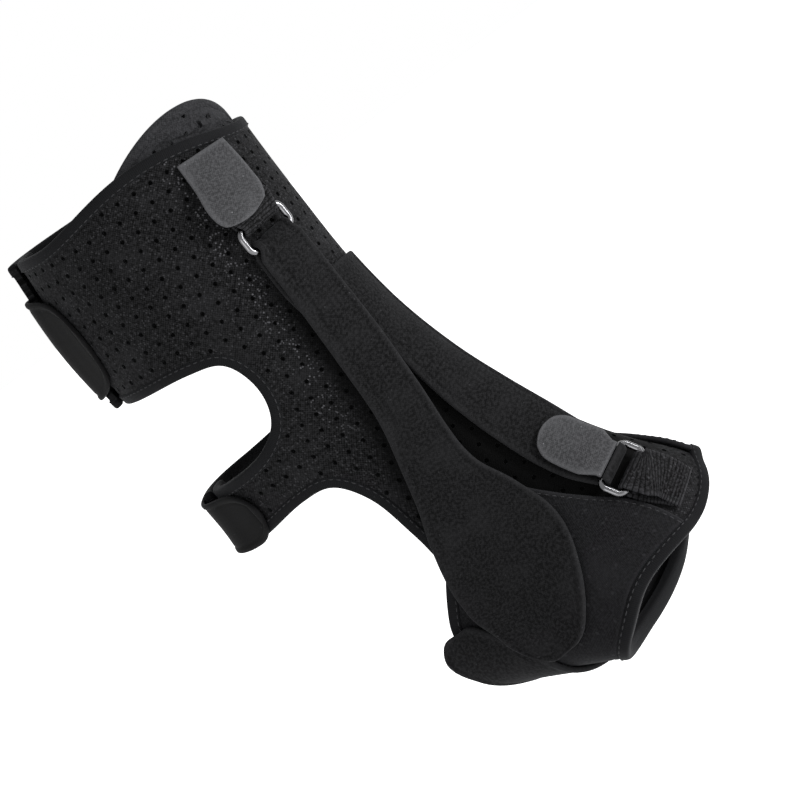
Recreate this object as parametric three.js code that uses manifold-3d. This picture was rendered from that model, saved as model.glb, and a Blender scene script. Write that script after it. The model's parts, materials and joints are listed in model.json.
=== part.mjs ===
import * as THREE from "three";
import { mergeVertices } from "three/addons/utils/BufferGeometryUtils.js";
import Module from "manifold-3d";

// Night splint for a right foot, in millimetres.
// The origin is the middle of the ankle joint. +Z runs up the leg, +X to the toes, -Y to the outer side.

// Main sizes
const legHeight = 195; // ankle joint to the top rim
const calfWidth = 100;
const footReach = 136; // ankle joint to the toe end
const footDrop = 92; // ankle joint to the sole
const footWidth = 96;
const toeSkew = 14; // how far the inner side runs ahead of the outer one at the toe end

// Walls and clearances
const sleeveWall = 3;
const wrapWall = 2.4;
const strapWall = 2;
const webbingWall = 1.6;
const tabWall = 1.6;
const padWall = 4;
const bindingWidth = 5.5;
const bindingProud = 0.8; // how far a bound edge stands out on each side of its fabric
const clearance = 0.45;
const drape = 0.3; // more room where a coarsely faceted layer lies over a finer one
const slack = 0.8; // looseness of a strap over what lies below it

// Rings, straps and webbing
const wire = 3;
const ringWidth = 27;
const ringHeight = 14;
const strapWidth = 25;
const sideStrapWidth = 20;
const webbingWidth = 19.6;

const degree = Math.PI / 180;
const wasm = await Module();
wasm.setup();

// Sections of the leg and foot, from above the top rim to past the toe end.
// frontX, backX: share of footReach. frontZ, backZ: share of legHeight, or of footDrop below the ankle.
// half: share of half the calf or foot width. mid: where the section is widest, from back to front.
// skew: share of toeSkew. square: 2 is an ellipse, more is squarer on the sole side.
const stations = [
  { frontX: 0.47, frontZ: 1.16, backX: -0.35, backZ: 1.19, half: 0.93, mid: 0.50, skew: 0, square: 2 },
  { frontX: 0.47, frontZ: 0.97, backX: -0.36, backZ: 1.00, half: 0.93, mid: 0.50, skew: 0, square: 2 },
  { frontX: 0.478, frontZ: 0.77, backX: -0.375, backZ: 0.78, half: 0.92, mid: 0.50, skew: 0, square: 2 },
  { frontX: 0.495, frontZ: 0.60, backX: -0.345, backZ: 0.58, half: 0.85, mid: 0.47, skew: 0, square: 2 },
  { frontX: 0.535, frontZ: 0.438, backX: -0.31, backZ: 0.41, half: 0.75, mid: 0.43, skew: 0, square: 2 },
  { frontX: 0.602, frontZ: 0.293, backX: -0.29, backZ: 0.25, half: 0.69, mid: 0.40, skew: 0, square: 2 },
  { frontX: 0.687, frontZ: 0.17, backX: -0.28, backZ: 0.02, half: 0.66, mid: 0.37, skew: 0.05, square: 2.1 },
  { frontX: 0.777, frontZ: 0.06, backX: -0.12, backZ: -0.54, half: 0.67, mid: 0.35, skew: 0.20, square: 2.2 },
  { frontX: 0.847, frontZ: -0.05, backX: 0.16, backZ: -0.745, half: 0.73, mid: 0.33, skew: 0.45, square: 2.4 },
  { frontX: 0.907, frontZ: -0.195, backX: 0.39, backZ: -0.82, half: 0.80, mid: 0.32, skew: 0.70, square: 2.5 },
  { frontX: 0.968, frontZ: -0.315, backX: 0.56, backZ: -0.88, half: 0.86, mid: 0.32, skew: 0.90, square: 2.5 },
  { frontX: 1.025, frontZ: -0.455, backX: 0.68, backZ: -0.92, half: 0.89, mid: 0.32, skew: 1, square: 2.5 },
  { frontX: 1.08, frontZ: -0.635, backX: 0.78, backZ: -0.95, half: 0.90, mid: 0.32, skew: 1, square: 2.5 },
];

const smooth = (a, b, x) => THREE.MathUtils.smoothstep(x, a, b);
const mix = THREE.MathUtils.lerp;

// One column of a table at a fractional row, by a smooth curve through its rows
function column(rows, key, at) {
  const last = rows.length - 1;
  const i = THREE.MathUtils.clamp(Math.floor(at), 0, last - 1);
  const f = at - i;
  const value = (k) => {
    if (k < 0) return 2 * rows[0][key] - rows[1][key];
    if (k > last) return 2 * rows[last][key] - rows[last - 1][key];
    return rows[k][key];
  };
  const [a, b, c, d] = [value(i - 1), value(i), value(i + 1), value(i + 2)];
  return b + 0.5 * f * (c - a + f * (2 * a - 5 * b + 4 * c - d + f * (3 * (b - c) + d - a)));
}

const height = (share) => (share > 0 ? share * legHeight : share * footDrop);

// The skin of leg and foot: row is the place along the stations, turn the angle from the front, in degrees,
// positive on the outer side
function skinPoint(row, turn) {
  const get = (key) => column(stations, key, row);
  const front = new THREE.Vector3(get("frontX") * footReach, 0, sectionHeight(row, "frontZ"));
  const back = new THREE.Vector3(get("backX") * footReach, 0, sectionHeight(row, "backZ"));
  const middle = back.clone().lerp(front, get("mid"));
  const c = Math.cos(turn * degree);
  const s = Math.sin(turn * degree);
  const power = c > 0 ? 1 : 2 / get("square");
  const reach = (c > 0 ? front : back).clone().sub(middle).multiplyScalar(Math.abs(c) ** power);
  const side = Math.sign(s) * Math.abs(s) ** power;
  const width = mix(calfWidth, footWidth, smooth(5, 10, row)) / 2;
  const point = middle.add(reach);
  point.y -= side * get("half") * width;
  point.x -= side * get("skew") * toeSkew;
  return point;
}

function sectionHeight(row, key) {
  const heights = stations.map((station) => ({ z: height(station[key]) }));
  return column(heights, "z", row);
}

const small = 0.02;
function slopes(row, turn) {
  const alongRow = skinPoint(row + small, turn).sub(skinPoint(row - small, turn)).divideScalar(2 * small);
  const alongTurn = skinPoint(row, turn + 1).sub(skinPoint(row, turn - 1)).divideScalar(2);
  return { alongRow, alongTurn };
}

function skinNormal(row, turn) {
  const { alongRow, alongTurn } = slopes(row, turn);
  return alongTurn.cross(alongRow).normalize();
}

// A point that stands off the skin by lift
function over(row, turn, lift) {
  return skinPoint(row, turn).addScaledVector(skinNormal(row, turn), lift);
}

// A closed body through loops of points that pair up first with last, for its two end faces
function body(loops, ring = false) {
  const count = loops[0].length;
  const positions = loops.flat().flatMap((p) => [p.x, p.y, p.z]);
  const faces = [];
  const quad = (a, b, c, d) => faces.push(a, b, c, a, c, d);
  const spans = ring ? loops.length : loops.length - 1;
  for (let i = 0; i < spans; i++) {
    const here = i * count;
    const next = ((i + 1) % loops.length) * count;
    for (let k = 0; k < count; k++) {
      const other = (k + 1) % count;
      quad(here + k, here + other, next + other, next + k);
    }
  }
  if (!ring) {
    const end = (loops.length - 1) * count;
    for (let k = 0; k < count / 2 - 1; k++) {
      quad(k, count - 1 - k, count - 2 - k, k + 1);
      quad(end + k, end + k + 1, end + count - 2 - k, end + count - 1 - k);
    }
  }
  const geometry = new THREE.BufferGeometry();
  geometry.setAttribute("position", new THREE.Float32BufferAttribute(positions, 3));
  geometry.setIndex(faces);
  return outward(geometry);
}

function outward(geometry) {
  const p = geometry.getAttribute("position");
  const index = geometry.getIndex().array;
  const [a, b, c] = [new THREE.Vector3(), new THREE.Vector3(), new THREE.Vector3()];
  let volume = 0;
  for (let i = 0; i < index.length; i += 3) {
    a.fromBufferAttribute(p, index[i]);
    b.fromBufferAttribute(p, index[i + 1]);
    c.fromBufferAttribute(p, index[i + 2]);
    volume += a.dot(b.cross(c));
  }
  if (volume < 0) {
    for (let i = 0; i < index.length; i += 3) {
      [index[i], index[i + 1]] = [index[i + 1], index[i]];
    }
  }
  return geometry;
}

function steps(from, to, count) {
  return Array.from({ length: count + 1 }, (_, i) => mix(from, to, i / count));
}

// Rows that a length covers there along the leg or foot
const rowsFor = (row, turn, length) => length / slopes(row, turn).alongRow.length();

// A sheet over the skin. place(a, b) gives row and turn for two shares, low and high are its two lifts.
function sheet({ place, rows, turns, low, high, ring = false }) {
  const loops = steps(0, 1, rows).slice(0, ring ? rows : rows + 1).map((a) => {
    const side = (lift) => steps(0, 1, turns).map((b) => {
      const [row, turn] = place(a, b);
      return over(row, turn, lift(row, turn));
    });
    return [...side(high), ...side(low).reverse()];
  });
  return body(loops, ring);
}

// The place that a length away lies in a direction along the skin, reached in short steps
const walkSteps = 4;
function walk(row, turn, direction, length) {
  let [r, t] = [row, turn];
  for (let i = 0; i < walkSteps; i++) {
    const { alongRow: u, alongTurn: v } = slopes(r, t);
    const [uu, uv, vv] = [u.dot(u), u.dot(v), v.dot(v)];
    const [du, dv] = [u.dot(direction), v.dot(direction)];
    const share = length / walkSteps / (uu * vv - uv * uv);
    r += (du * vv - dv * uv) * share;
    t += (dv * uu - du * uv) * share;
  }
  return [r, t];
}

const bandAcross = 4;

// Loops of a band that lies along a line on the skin. A table row has its place (row, turn), its half width
// and its lift. The first half of each loop is the face towards the ring that the band is folded round.
function bandLoops(table, { rows, thick, facing = "under", upward = false, rise = () => 0 }) {
  return steps(0, table.length - 1, rows).map((at) => {
    const get = (key) => column(table, key, at);
    const [row, turn, half, lift] = [get("row"), get("turn"), get("half"), get("lift")];
    const spot = (k) => skinPoint(column(table, "row", k), column(table, "turn", k));
    const forward = spot(at + small).sub(spot(at - small));
    const sideways = skinNormal(row, turn).cross(forward).setLength(upward ? -1 : 1);
    const face = (extra) => steps(-half, half, bandAcross).map((offset) => {
      const [r, t] = walk(row, turn, sideways, offset);
      return over(r, t, lift + extra + rise(r, t));
    });
    const [near, far] = facing === "under" ? [0, thick] : [thick, 0];
    return [...face(near), ...face(far).reverse()];
  });
}

const band = (table, options) => body(bandLoops(table, options));

// A ring's own axes on the skin: down the leg, across, and out
function ringFrame(row, turn, lift) {
  const out = skinNormal(row, turn);
  const down = slopes(row, turn).alongRow.normalize();
  const across = new THREE.Vector3().crossVectors(out, down).normalize();
  down.crossVectors(across, out);
  return { centre: over(row, turn, lift), out, down, across, row, turn, lift };
}

// A straight loop of a band at one bar of a ring: side is 1 for the lower bar, angle is 0 over the bar and 180
// under it, and beyond is how far the loop lies from the bar, away from the middle of the ring
function barLoop(frame, side, half, thick, angle, beyond = 0) {
  const bar = frame.centre.clone().addScaledVector(frame.down, side * (barOffset + beyond));
  const radial = frame.out.clone().multiplyScalar(Math.cos(angle * degree))
    .addScaledVector(frame.down, -side * Math.sin(angle * degree));
  const face = (radius) => steps(-half, half, bandAcross).map((offset) => bar.clone()
    .addScaledVector(frame.across, offset).addScaledVector(radial, radius));
  return [...face(wire / 2 + clearance), ...face(wire / 2 + clearance + thick).reverse()];
}

// The fold of a band round a bar, from under it to over it
const fold = (frame, side, thick) => steps(180, 0, foldSteps)
  .map((angle) => barLoop(frame, side, foldHalf, thick, angle));

const foldSteps = 6;
const barOffset = (ringHeight - wire) / 2;

// A rectangular ring of round wire with rounded corners
function ringBody(frame) {
  const [halfX, halfY, corner] = [(ringWidth - wire) / 2, barOffset, wire * 1.1];
  const centres = [[1, 1], [-1, 1], [-1, -1], [1, -1]];
  const path = centres.flatMap(([x, y], i) => steps(0, 90, 3).map((step) => {
    const angle = (step + i * 90) * degree;
    return {
      x: x * (halfX - corner) + corner * Math.cos(angle),
      y: y * (halfY - corner) + corner * Math.sin(angle),
      angle,
    };
  }));
  const loops = path.map(({ x, y, angle }) => steps(0, 360, ringSides).slice(0, ringSides).map((around) => {
    const radial = (wire / 2) * Math.cos(around * degree);
    return frame.centre.clone()
      .addScaledVector(frame.across, x + radial * Math.cos(angle))
      .addScaledVector(frame.down, y + radial * Math.sin(angle))
      .addScaledVector(frame.out, (wire / 2) * Math.sin(around * degree));
  }));
  return body(loops, true);
}

const ringSides = 8;

// Booleans
function solid(geometry) {
  const mesh = new wasm.Mesh({
    numProp: 3,
    vertProperties: Float32Array.from(geometry.getAttribute("position").array),
    triVerts: Uint32Array.from(geometry.getIndex().array),
  });
  mesh.merge();
  return new wasm.Manifold(mesh);
}

function geometryOf(manifold) {
  const mesh = manifold.getMesh();
  const geometry = new THREE.BufferGeometry();
  geometry.setAttribute("position", new THREE.Float32BufferAttribute(mesh.vertProperties, 3));
  geometry.setIndex(Array.from(mesh.triVerts));
  return geometry;
}

// A straight cutter through the whole splint from an outline in the side view, grown outwards by a width
function cutter(outline, grow) {
  const curve = new THREE.CatmullRomCurve3(outline.map(([x, z]) => new THREE.Vector3(x, 0, z)), true);
  const points = curve.getPoints(outlineSteps).slice(0, outlineSteps);
  const loop = points.map((p, i) => {
    const ahead = points[(i + 1) % outlineSteps].clone().sub(points.at(i - 1)).normalize();
    return [p.x - ahead.z * grow, p.z + ahead.x * grow];
  });
  const shape = new THREE.Shape(loop.map(([x, z]) => new THREE.Vector2(x, z)));
  const block = new THREE.ExtrudeGeometry(shape, { depth: 2 * calfWidth, bevelEnabled: false });
  block.rotateX(Math.PI / 2).translate(0, calfWidth, 0);
  block.deleteAttribute("normal");
  block.deleteAttribute("uv");
  return solid(mergeVertices(block, 1e-3));
}

const outlineSteps = 56;

// Openings in the side view, as shares: x of footReach, z of legHeight, or of footDrop below the ankle.
// They run clockwise, so that a grown outline widens the opening.
const place = ([x, z]) => [x * footReach, height(z)];
const windowOutline = [
  [-0.75, 0.62], [-0.35, 0.603], [0.02, 0.594], [0.13, 0.57], [0.165, 0.49], [0.13, 0.41],
  [0.03, 0.362], [-0.18, 0.336], [-0.36, 0.328], [-0.75, 0.33],
].map(place);
const heelOutline = [
  [-0.75, 0.14], [-0.36, 0.158], [-0.15, 0.19], [0.05, 0.218], [0.15, 0.212], [0.228, 0.145], [0.278, 0.02],
  [0.318, -0.20], [0.455, -0.42], [0.675, -0.56], [0.95, -0.70], [1.3, -1.0], [1.2, -1.8], [0.2, -1.9],
  [-0.75, -1.5],
].map(place);

// Lifts of the layers over the skin
const overSleeve = sleeveWall + clearance;
const underWrap = overSleeve + drape;
const overWrap = underWrap + wrapWall + clearance;
const overBinding = overWrap + bindingProud;
const armStep = sleeveWall + 2 * bindingProud + clearance;

// Where the sleeve and the foot wrap end, as rows
const toeEdges = [
  { turn: -180, row: 10.6 }, { turn: -100, row: 10.2 }, { turn: -34, row: 10.25 }, { turn: -12, row: 11.0 },
  { turn: 2, row: 11.3 }, { turn: 20, row: 11.48 }, { turn: 42, row: 11.25 }, { turn: 62, row: 11.0 },
  { turn: 90, row: 11.15 }, { turn: 120, row: 11.0 }, { turn: 150, row: 10.8 }, { turn: 180, row: 10.6 },
];
function toeEdge(turn) {
  const t = THREE.MathUtils.euclideanModulo(turn + 180, 360) - 180;
  const i = Math.max(1, toeEdges.findIndex((edge) => edge.turn >= t));
  const [a, b] = [toeEdges[i - 1], toeEdges[i]];
  return mix(a.row, b.row, (t - a.turn) / (b.turn - a.turn));
}
const wrapTop = (row) => mix(43, 26, smooth(6.2, 11.2, row));
const wrapRear = (turn) => 6.6 + 1.5 * smooth(45, 125, 180 - Math.abs(180 - Math.abs(turn)));
// The rim stands higher over the outer side of the calf
const rimRise = { row: 1.14, most: 0.24, turn: 58, reach: 66 };
function rimEdge(turn) {
  const away = THREE.MathUtils.clamp((turn - rimRise.turn) / rimRise.reach, -1, 1);
  return rimRise.row - rimRise.most * Math.cos(away * Math.PI / 2) ** 2;
}
const bindingRows = (row, turn) => rowsFor(row, turn, bindingWidth);
const gapRows = (row, turn) => rowsFor(row, turn, 1.3 * clearance);

// The inner calf and ankle arm runs round the back and lies over the end of the outer arm
const armEnd = 180;
const overlap = 22;
const armLift = (row, turn) => armStep * smooth(128, 170, -turn);
const sleeveTurn = (share) => mix(-armEnd - overlap, armEnd - 2, share);

function sleeveBlank(low, high, from, to, rows) {
  return solid(sheet({
    place: (a, b) => {
      const turn = sleeveTurn(b);
      return [mix(from(turn), to(turn), a), turn];
    },
    rows,
    turns: 34,
    low: (row, turn) => armLift(row, turn) + low,
    high: (row, turn) => armLift(row, turn) + high,
  }));
}

function legSleeve() {
  const gap = bindingWidth + clearance;
  const blank = sleeveBlank(0, sleeveWall, rimEdge, toeEdge, 24);
  return geometryOf(blank.subtract(cutter(windowOutline, gap)).subtract(cutter(heelOutline, gap)));
}

// A bound edge that the open back parts in two: the outer half first, then the inner one
function halves(edge) {
  const middle = (piece) => piece.boundingBox().min[1] + piece.boundingBox().max[1];
  return edge.decompose().sort((a, b) => middle(a) - middle(b)).map(geometryOf);
}

function windowBindings() {
  const top = (turn) => rimEdge(turn) + 1;
  const blank = sleeveBlank(-bindingProud, sleeveWall + bindingProud, top, () => 5.6, 9);
  return halves(blank.intersect(cutter(windowOutline, bindingWidth)).subtract(cutter(windowOutline, 0)));
}

function heelBindings() {
  const end = (turn) => {
    const row = wrapRear(turn);
    return row - 3 * gapRows(row, turn) - bindingRows(row, turn);
  };
  const blank = sleeveBlank(-bindingProud, sleeveWall + bindingProud, () => 4, end, 9);
  return halves(blank.intersect(cutter(heelOutline, bindingWidth)).subtract(cutter(heelOutline, 0)));
}

function rimBinding() {
  return sheet({
    place: (a, b) => {
      const turn = sleeveTurn(a);
      const edge = rimEdge(turn);
      const last = edge - gapRows(edge, turn);
      return [mix(last - bindingRows(last, turn), last, b), turn];
    },
    rows: 40, turns: 2,
    low: (row, turn) => armLift(row, turn) - bindingProud,
    high: (row, turn) => armLift(row, turn) + sleeveWall + bindingProud,
  });
}

// The toe edge is bound over the sleeve alone on the instep, and over sleeve and wrap elsewhere
const instepTurns = [20, 32];
function toeHeight(turn) {
  const wrapped = smooth(...instepTurns, Math.min(turn, 360 - turn));
  return bindingProud + mix(sleeveWall, overWrap - clearance, wrapped);
}

function toeBinding() {
  return sheet({
    place: (a, b) => {
      const turn = 360 * a;
      const first = toeEdge(turn) + 1.6 * gapRows(11, turn);
      return [first + b * bindingRows(11, turn), turn];
    },
    rows: 40, turns: 1, ring: true,
    low: () => -bindingProud,
    high: (row, turn) => toeHeight(turn),
  });
}

// From the outer free edge under the sole to the inner one
const wrapTurn = (row, share) => mix(wrapTop(row), 360 - wrapTop(row), share);

function footWrap() {
  return sheet({
    place: (a, b) => {
      const turn = wrapTurn(mix(6.5, 11.5, a), b);
      const [first, last] = [wrapRear(turn), toeEdge(turn)];
      return [mix(first, last, a), turn];
    },
    rows: 9, turns: 32, low: () => underWrap, high: () => underWrap + wrapWall,
  });
}

function wrapBinding() {
  return sheet({
    place: (a, b) => {
      const turn = wrapTurn(6.5, a);
      const edge = wrapRear(turn);
      const last = edge - gapRows(edge, turn);
      return [mix(last - bindingRows(edge, turn), last, b), turn];
    },
    rows: 34, turns: 1, low: () => underWrap, high: () => underWrap + wrapWall + bindingProud,
  });
}

// The pad inside the front of the rim. Its top is an arch above the rim, highest to the outer side.
const padMiddle = 27;
const padSpan = 62;
function shinPad() {
  return sheet({
    place: (a, b) => {
      const turn = mix(padMiddle - padSpan, padMiddle + padSpan, b);
      const arch = 0.46 + 0.18 * ((turn - padMiddle) / 32) ** 2;
      return [mix(arch, 1.9, a), turn];
    },
    rows: 5,
    turns: 16,
    low: () => -bindingProud - clearance - padWall,
    high: () => -bindingProud - clearance,
  });
}

// Closure tabs at the back: a row has its place, half width as a share of the tab's width, and lift
const calfTabWidth = 52;
const ankleTabWidth = 29;
const ankleTabLift = overSleeve + bindingProud;
const calfTab = [
  { row: 2.0, turn: 190, half: 0.5, lift: overSleeve + armStep },
  { row: 2.0, turn: 172, half: 0.5, lift: overSleeve + armStep },
  { row: 2.0, turn: 155, half: 0.5, lift: overSleeve + 1.04 * armStep },
  { row: 2.0, turn: 144, half: 0.46, lift: overSleeve + 0.35 * armStep },
  { row: 2.0, turn: 136, half: 0.37, lift: overSleeve },
  { row: 2.0, turn: 129, half: 0.16, lift: overSleeve },
];
const ankleTab = [
  { row: 4.97, turn: 190, half: 0.5, lift: ankleTabLift + armStep },
  { row: 4.99, turn: 173, half: 0.5, lift: ankleTabLift + armStep },
  { row: 5.02, turn: 154, half: 0.5, lift: ankleTabLift + 1.05 * armStep },
  { row: 5.04, turn: 138, half: 0.49, lift: ankleTabLift + 0.25 * armStep },
  { row: 5.05, turn: 127, half: 0.42, lift: ankleTabLift },
  { row: 5.05, turn: 118, half: 0.20, lift: ankleTabLift },
];
const sized = (table, width) => table.map((line) => ({ ...line, half: line.half * width }));

// Rings: both lie over a folded strap, so their lift follows its wall
const ringLift = overSleeve + strapWall + clearance + wire / 2;
const upperFrame = ringFrame(2.07, 30, ringLift);
const toeFrame = ringFrame(9.36, 17, ringLift);
const bandStart = 4; // from a bar to the first place of a band that has left it
function barRow({ row, turn }, side) {
  return row + side * rowsFor(row, turn, barOffset + bandStart);
}
const underBar = ringLift - wire / 2 - clearance;
const overBar = ringLift + wire / 2 + clearance;
const foldHalf = webbingWidth / 2;
const fullHalf = strapWidth / 2;
const sideHalf = sideStrapWidth / 2;

// Side strap: a short return under the ring, the fold round its lower bar, and the run to the paddle
const paddleWidth = 57;
const sideReturn = [
  { row: 3.2, turn: 33, half: foldHalf * 0.75, lift: overSleeve },
  { row: 2.85, turn: 32, half: foldHalf * 0.9, lift: overSleeve },
  { row: barRow(upperFrame, 1), turn: 30, half: foldHalf, lift: underBar - strapWall },
];
const sideRun = [
  { row: barRow(upperFrame, 1), turn: 30, half: foldHalf, lift: overBar },
  { row: 3.0, turn: 30.2, half: sideHalf, lift: overBar - 1.5 * slack },
  { row: 3.9, turn: 34, half: sideHalf, lift: overBinding + slack },
  { row: 4.9, turn: 41, half: sideHalf * 1.02, lift: overBinding + slack },
  { row: 5.7, turn: 48, half: sideHalf * 1.22, lift: overBinding + 0.6 * slack },
  { row: 6.28, turn: 53, half: paddleWidth * 0.27, lift: overBinding },
  { row: 6.82, turn: 57, half: paddleWidth * 0.40, lift: overBinding },
  { row: 7.43, turn: 62, half: paddleWidth * 0.49, lift: overBinding },
  { row: 8.05, turn: 69, half: paddleWidth * 0.49, lift: overBinding },
  { row: 8.75, turn: 80, half: paddleWidth * 0.42, lift: overBinding },
  { row: 9.25, turn: 93, half: paddleWidth * 0.29, lift: overBinding },
  { row: 9.40, turn: 105, half: paddleWidth * 0.10, lift: overBinding },
];
// The paddle rises over the end of the sole strap, from these turns on, later further to the toes
const soleStrapTurns = [76, 87];
function overSoleStrap(row, turn) {
  return (strapWall + clearance) * smooth(...soleStrapTurns, turn - 10 * Math.max(0, row - 8));
}

// Strap from the inner side under the sole; its rounded end shows below the paddle
const soleStrapWidth = 28;
const soleStrap = [
  { row: 9.3, turn: 258, half: 0.5, lift: overWrap + drape },
  { row: 9.5, turn: 225, half: 0.5, lift: overWrap + drape },
  { row: 9.6, turn: 190, half: 0.5, lift: overWrap + drape },
  { row: 9.5, turn: 160, half: 0.5, lift: overWrap + drape },
  { row: 9.15, turn: 137, half: 0.5, lift: overWrap + drape },
  { row: 8.6, turn: 119, half: 0.48, lift: overWrap + drape },
  { row: 8.0, turn: 107, half: 0.46, lift: overBinding },
  { row: 7.6, turn: 102, half: 0.38, lift: overBinding },
  { row: 7.36, turn: 98, half: 0.18, lift: overBinding },
];

// Centre strap from the shin to the toe ring, where it is folded back as the toe tab
const centreRun = [
  { row: 3.0, turn: 3, half: fullHalf, lift: overSleeve },
  { row: 3.7, turn: 5, half: fullHalf, lift: overSleeve + 0.4 * slack },
  { row: 4.7, turn: 9, half: fullHalf, lift: overSleeve + slack },
  { row: 5.7, turn: 13.2, half: fullHalf, lift: overSleeve + 1.2 * slack },
  { row: 7.0, turn: 16.6, half: fullHalf, lift: overSleeve + slack },
  { row: 8.0, turn: 17, half: fullHalf * 0.95, lift: overSleeve + 0.5 * slack },
  { row: barRow(toeFrame, -1), turn: 17, half: foldHalf, lift: underBar - strapWall },
];
const toeTabTable = [
  { row: 8.3, turn: 17.1, half: foldHalf * 0.96, lift: overBar },
  { row: 7.8, turn: 17.4, half: foldHalf * 0.95, lift: overBar - 1.5 * slack },
  { row: 7.33, turn: 17.6, half: foldHalf * 0.86, lift: overBar - 2 * slack },
  { row: 7.0, turn: 17.8, half: foldHalf * 0.45, lift: overBar - 2.2 * slack },
];
const tabHalf = 11.6;
const topTabTable = [
  { row: rimEdge(31) + 0.03, turn: 31, half: tabHalf, lift: overSleeve + bindingProud },
  { row: 1.34, turn: 32, half: tabHalf, lift: overSleeve + 5 * slack },
  { row: 1.58, turn: 34, half: tabHalf * 0.98, lift: overBar + 2 * slack },
  { row: 1.76, turn: 34.4, half: tabHalf * 0.84, lift: overBar + 2.7 * slack },
  { row: 1.86, turn: 34.4, half: tabHalf * 0.5, lift: overBar + 2.7 * slack },
];
const ringWebbingUnder = [
  { row: 1.4, turn: 31.5, half: foldHalf, lift: overSleeve },
  { row: barRow(upperFrame, -1), turn: 30, half: foldHalf, lift: underBar - webbingWall },
];
const ringWebbingOver = [
  { row: barRow(upperFrame, -1), turn: 30, half: foldHalf, lift: overBar },
  { row: 1.56, turn: 31.5, half: foldHalf, lift: overSleeve + webbingWall + 3 * slack },
];
const webbingRoot = 11.15;
const toeWebbingUnder = [
  { row: 10.9, turn: 10.4, half: foldHalf, lift: overSleeve + drape },
  { row: barRow(toeFrame, 1), turn: 16, half: foldHalf, lift: underBar - webbingWall - 0.8 * slack },
];
const toeWebbingOver = [
  { row: barRow(toeFrame, 1), turn: 16, half: foldHalf, lift: overBar + 1.6 * slack },
  { row: 10.5, turn: 12, half: foldHalf, lift: overSleeve + 5 * slack },
  { row: webbingRoot, turn: 9.8, half: foldHalf, lift: overSleeve + webbingWall },
];

// A strap that comes up under a ring's bar, folds round it and runs on over itself
function foldedStrap(under, frame, side, over, thick, [underRows, overRows], rise) {
  const upper = side < 0;
  return body([
    ...bandLoops(under, { rows: underRows, thick, facing: "over", upward: !upper }),
    ...fold(frame, side, thick),
    ...bandLoops(over, { rows: overRows, thick, upward: upper, rise }),
  ]);
}

const group = new THREE.Group();
function add(name, geometry, color, roughness, metalness = 0) {
  const mesh = new THREE.Mesh(geometry, new THREE.MeshStandardMaterial({ color, roughness, metalness }));
  mesh.name = name;
  group.add(mesh);
}

const padded = 0x222224;
const bound = 0x2b2b2f;
const strap = 0x262628;
const grey = 0x55565a;
const webbing = 0x18181a;
const silver = 0xc8c8cc;

add("leg_sleeve", legSleeve(), padded, 0.9);
add("shin_pad", shinPad(), padded, 0.9);
add("rim_binding", rimBinding(), bound, 0.85);
const [outerWindow, innerWindow] = windowBindings();
add("window_binding_outer", outerWindow, bound, 0.85);
add("window_binding_inner", innerWindow, bound, 0.85);
const [outerHeel, innerHeel] = heelBindings();
add("heel_binding_outer", outerHeel, bound, 0.85);
add("heel_binding_inner", innerHeel, bound, 0.85);
add("toe_binding", toeBinding(), bound, 0.85);
add("foot_wrap", footWrap(), strap, 0.9);
add("wrap_binding", wrapBinding(), bound, 0.85);
add("calf_tab", band(sized(calfTab, calfTabWidth), { rows: 10, thick: tabWall }), strap, 0.8);
add("ankle_tab", band(sized(ankleTab, ankleTabWidth), { rows: 10, thick: tabWall }), strap, 0.8);
add("sole_strap", band(sized(soleStrap, soleStrapWidth), { rows: 18, thick: strapWall }), strap, 0.9);
add("upper_ring", ringBody(upperFrame), silver, 0.25, 1);
add("toe_ring", ringBody(toeFrame), silver, 0.25, 1);
const sideStrap = foldedStrap(sideReturn, upperFrame, 1, sideRun, strapWall, [3, 27], overSoleStrap);
const ringWebbing = foldedStrap(ringWebbingUnder, upperFrame, -1, ringWebbingOver, webbingWall, [2, 2]);
const toeWebbing = foldedStrap(toeWebbingUnder, toeFrame, 1, toeWebbingOver, webbingWall, [3, 4]);
add("side_strap", sideStrap, strap, 0.9);
add("centre_strap", body([
  ...bandLoops(centreRun, { rows: 12, thick: strapWall, facing: "over" }),
  ...fold(toeFrame, -1, strapWall),
]), strap, 0.9);
add("ring_webbing", ringWebbing, webbing, 0.95);
add("toe_webbing", toeWebbing, webbing, 0.95);
add("toe_tab", body([
  barLoop(toeFrame, -1, foldHalf, tabWall, 0, clearance),
  barLoop(toeFrame, -1, foldHalf, tabWall, 0, wire),
  ...bandLoops(toeTabTable, { rows: 6, thick: tabWall, upward: true }),
]), grey, 0.85);
add("top_tab", band(topTabTable, { rows: 8, thick: tabWall }), grey, 0.85);

export default group;
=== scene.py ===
import json
import math

import bpy
import numpy as np
from bpy.props import FloatProperty, FloatVectorProperty, PointerProperty
from bpy.types import Operator, Panel, PropertyGroup
from mathutils import Matrix, Vector

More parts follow.
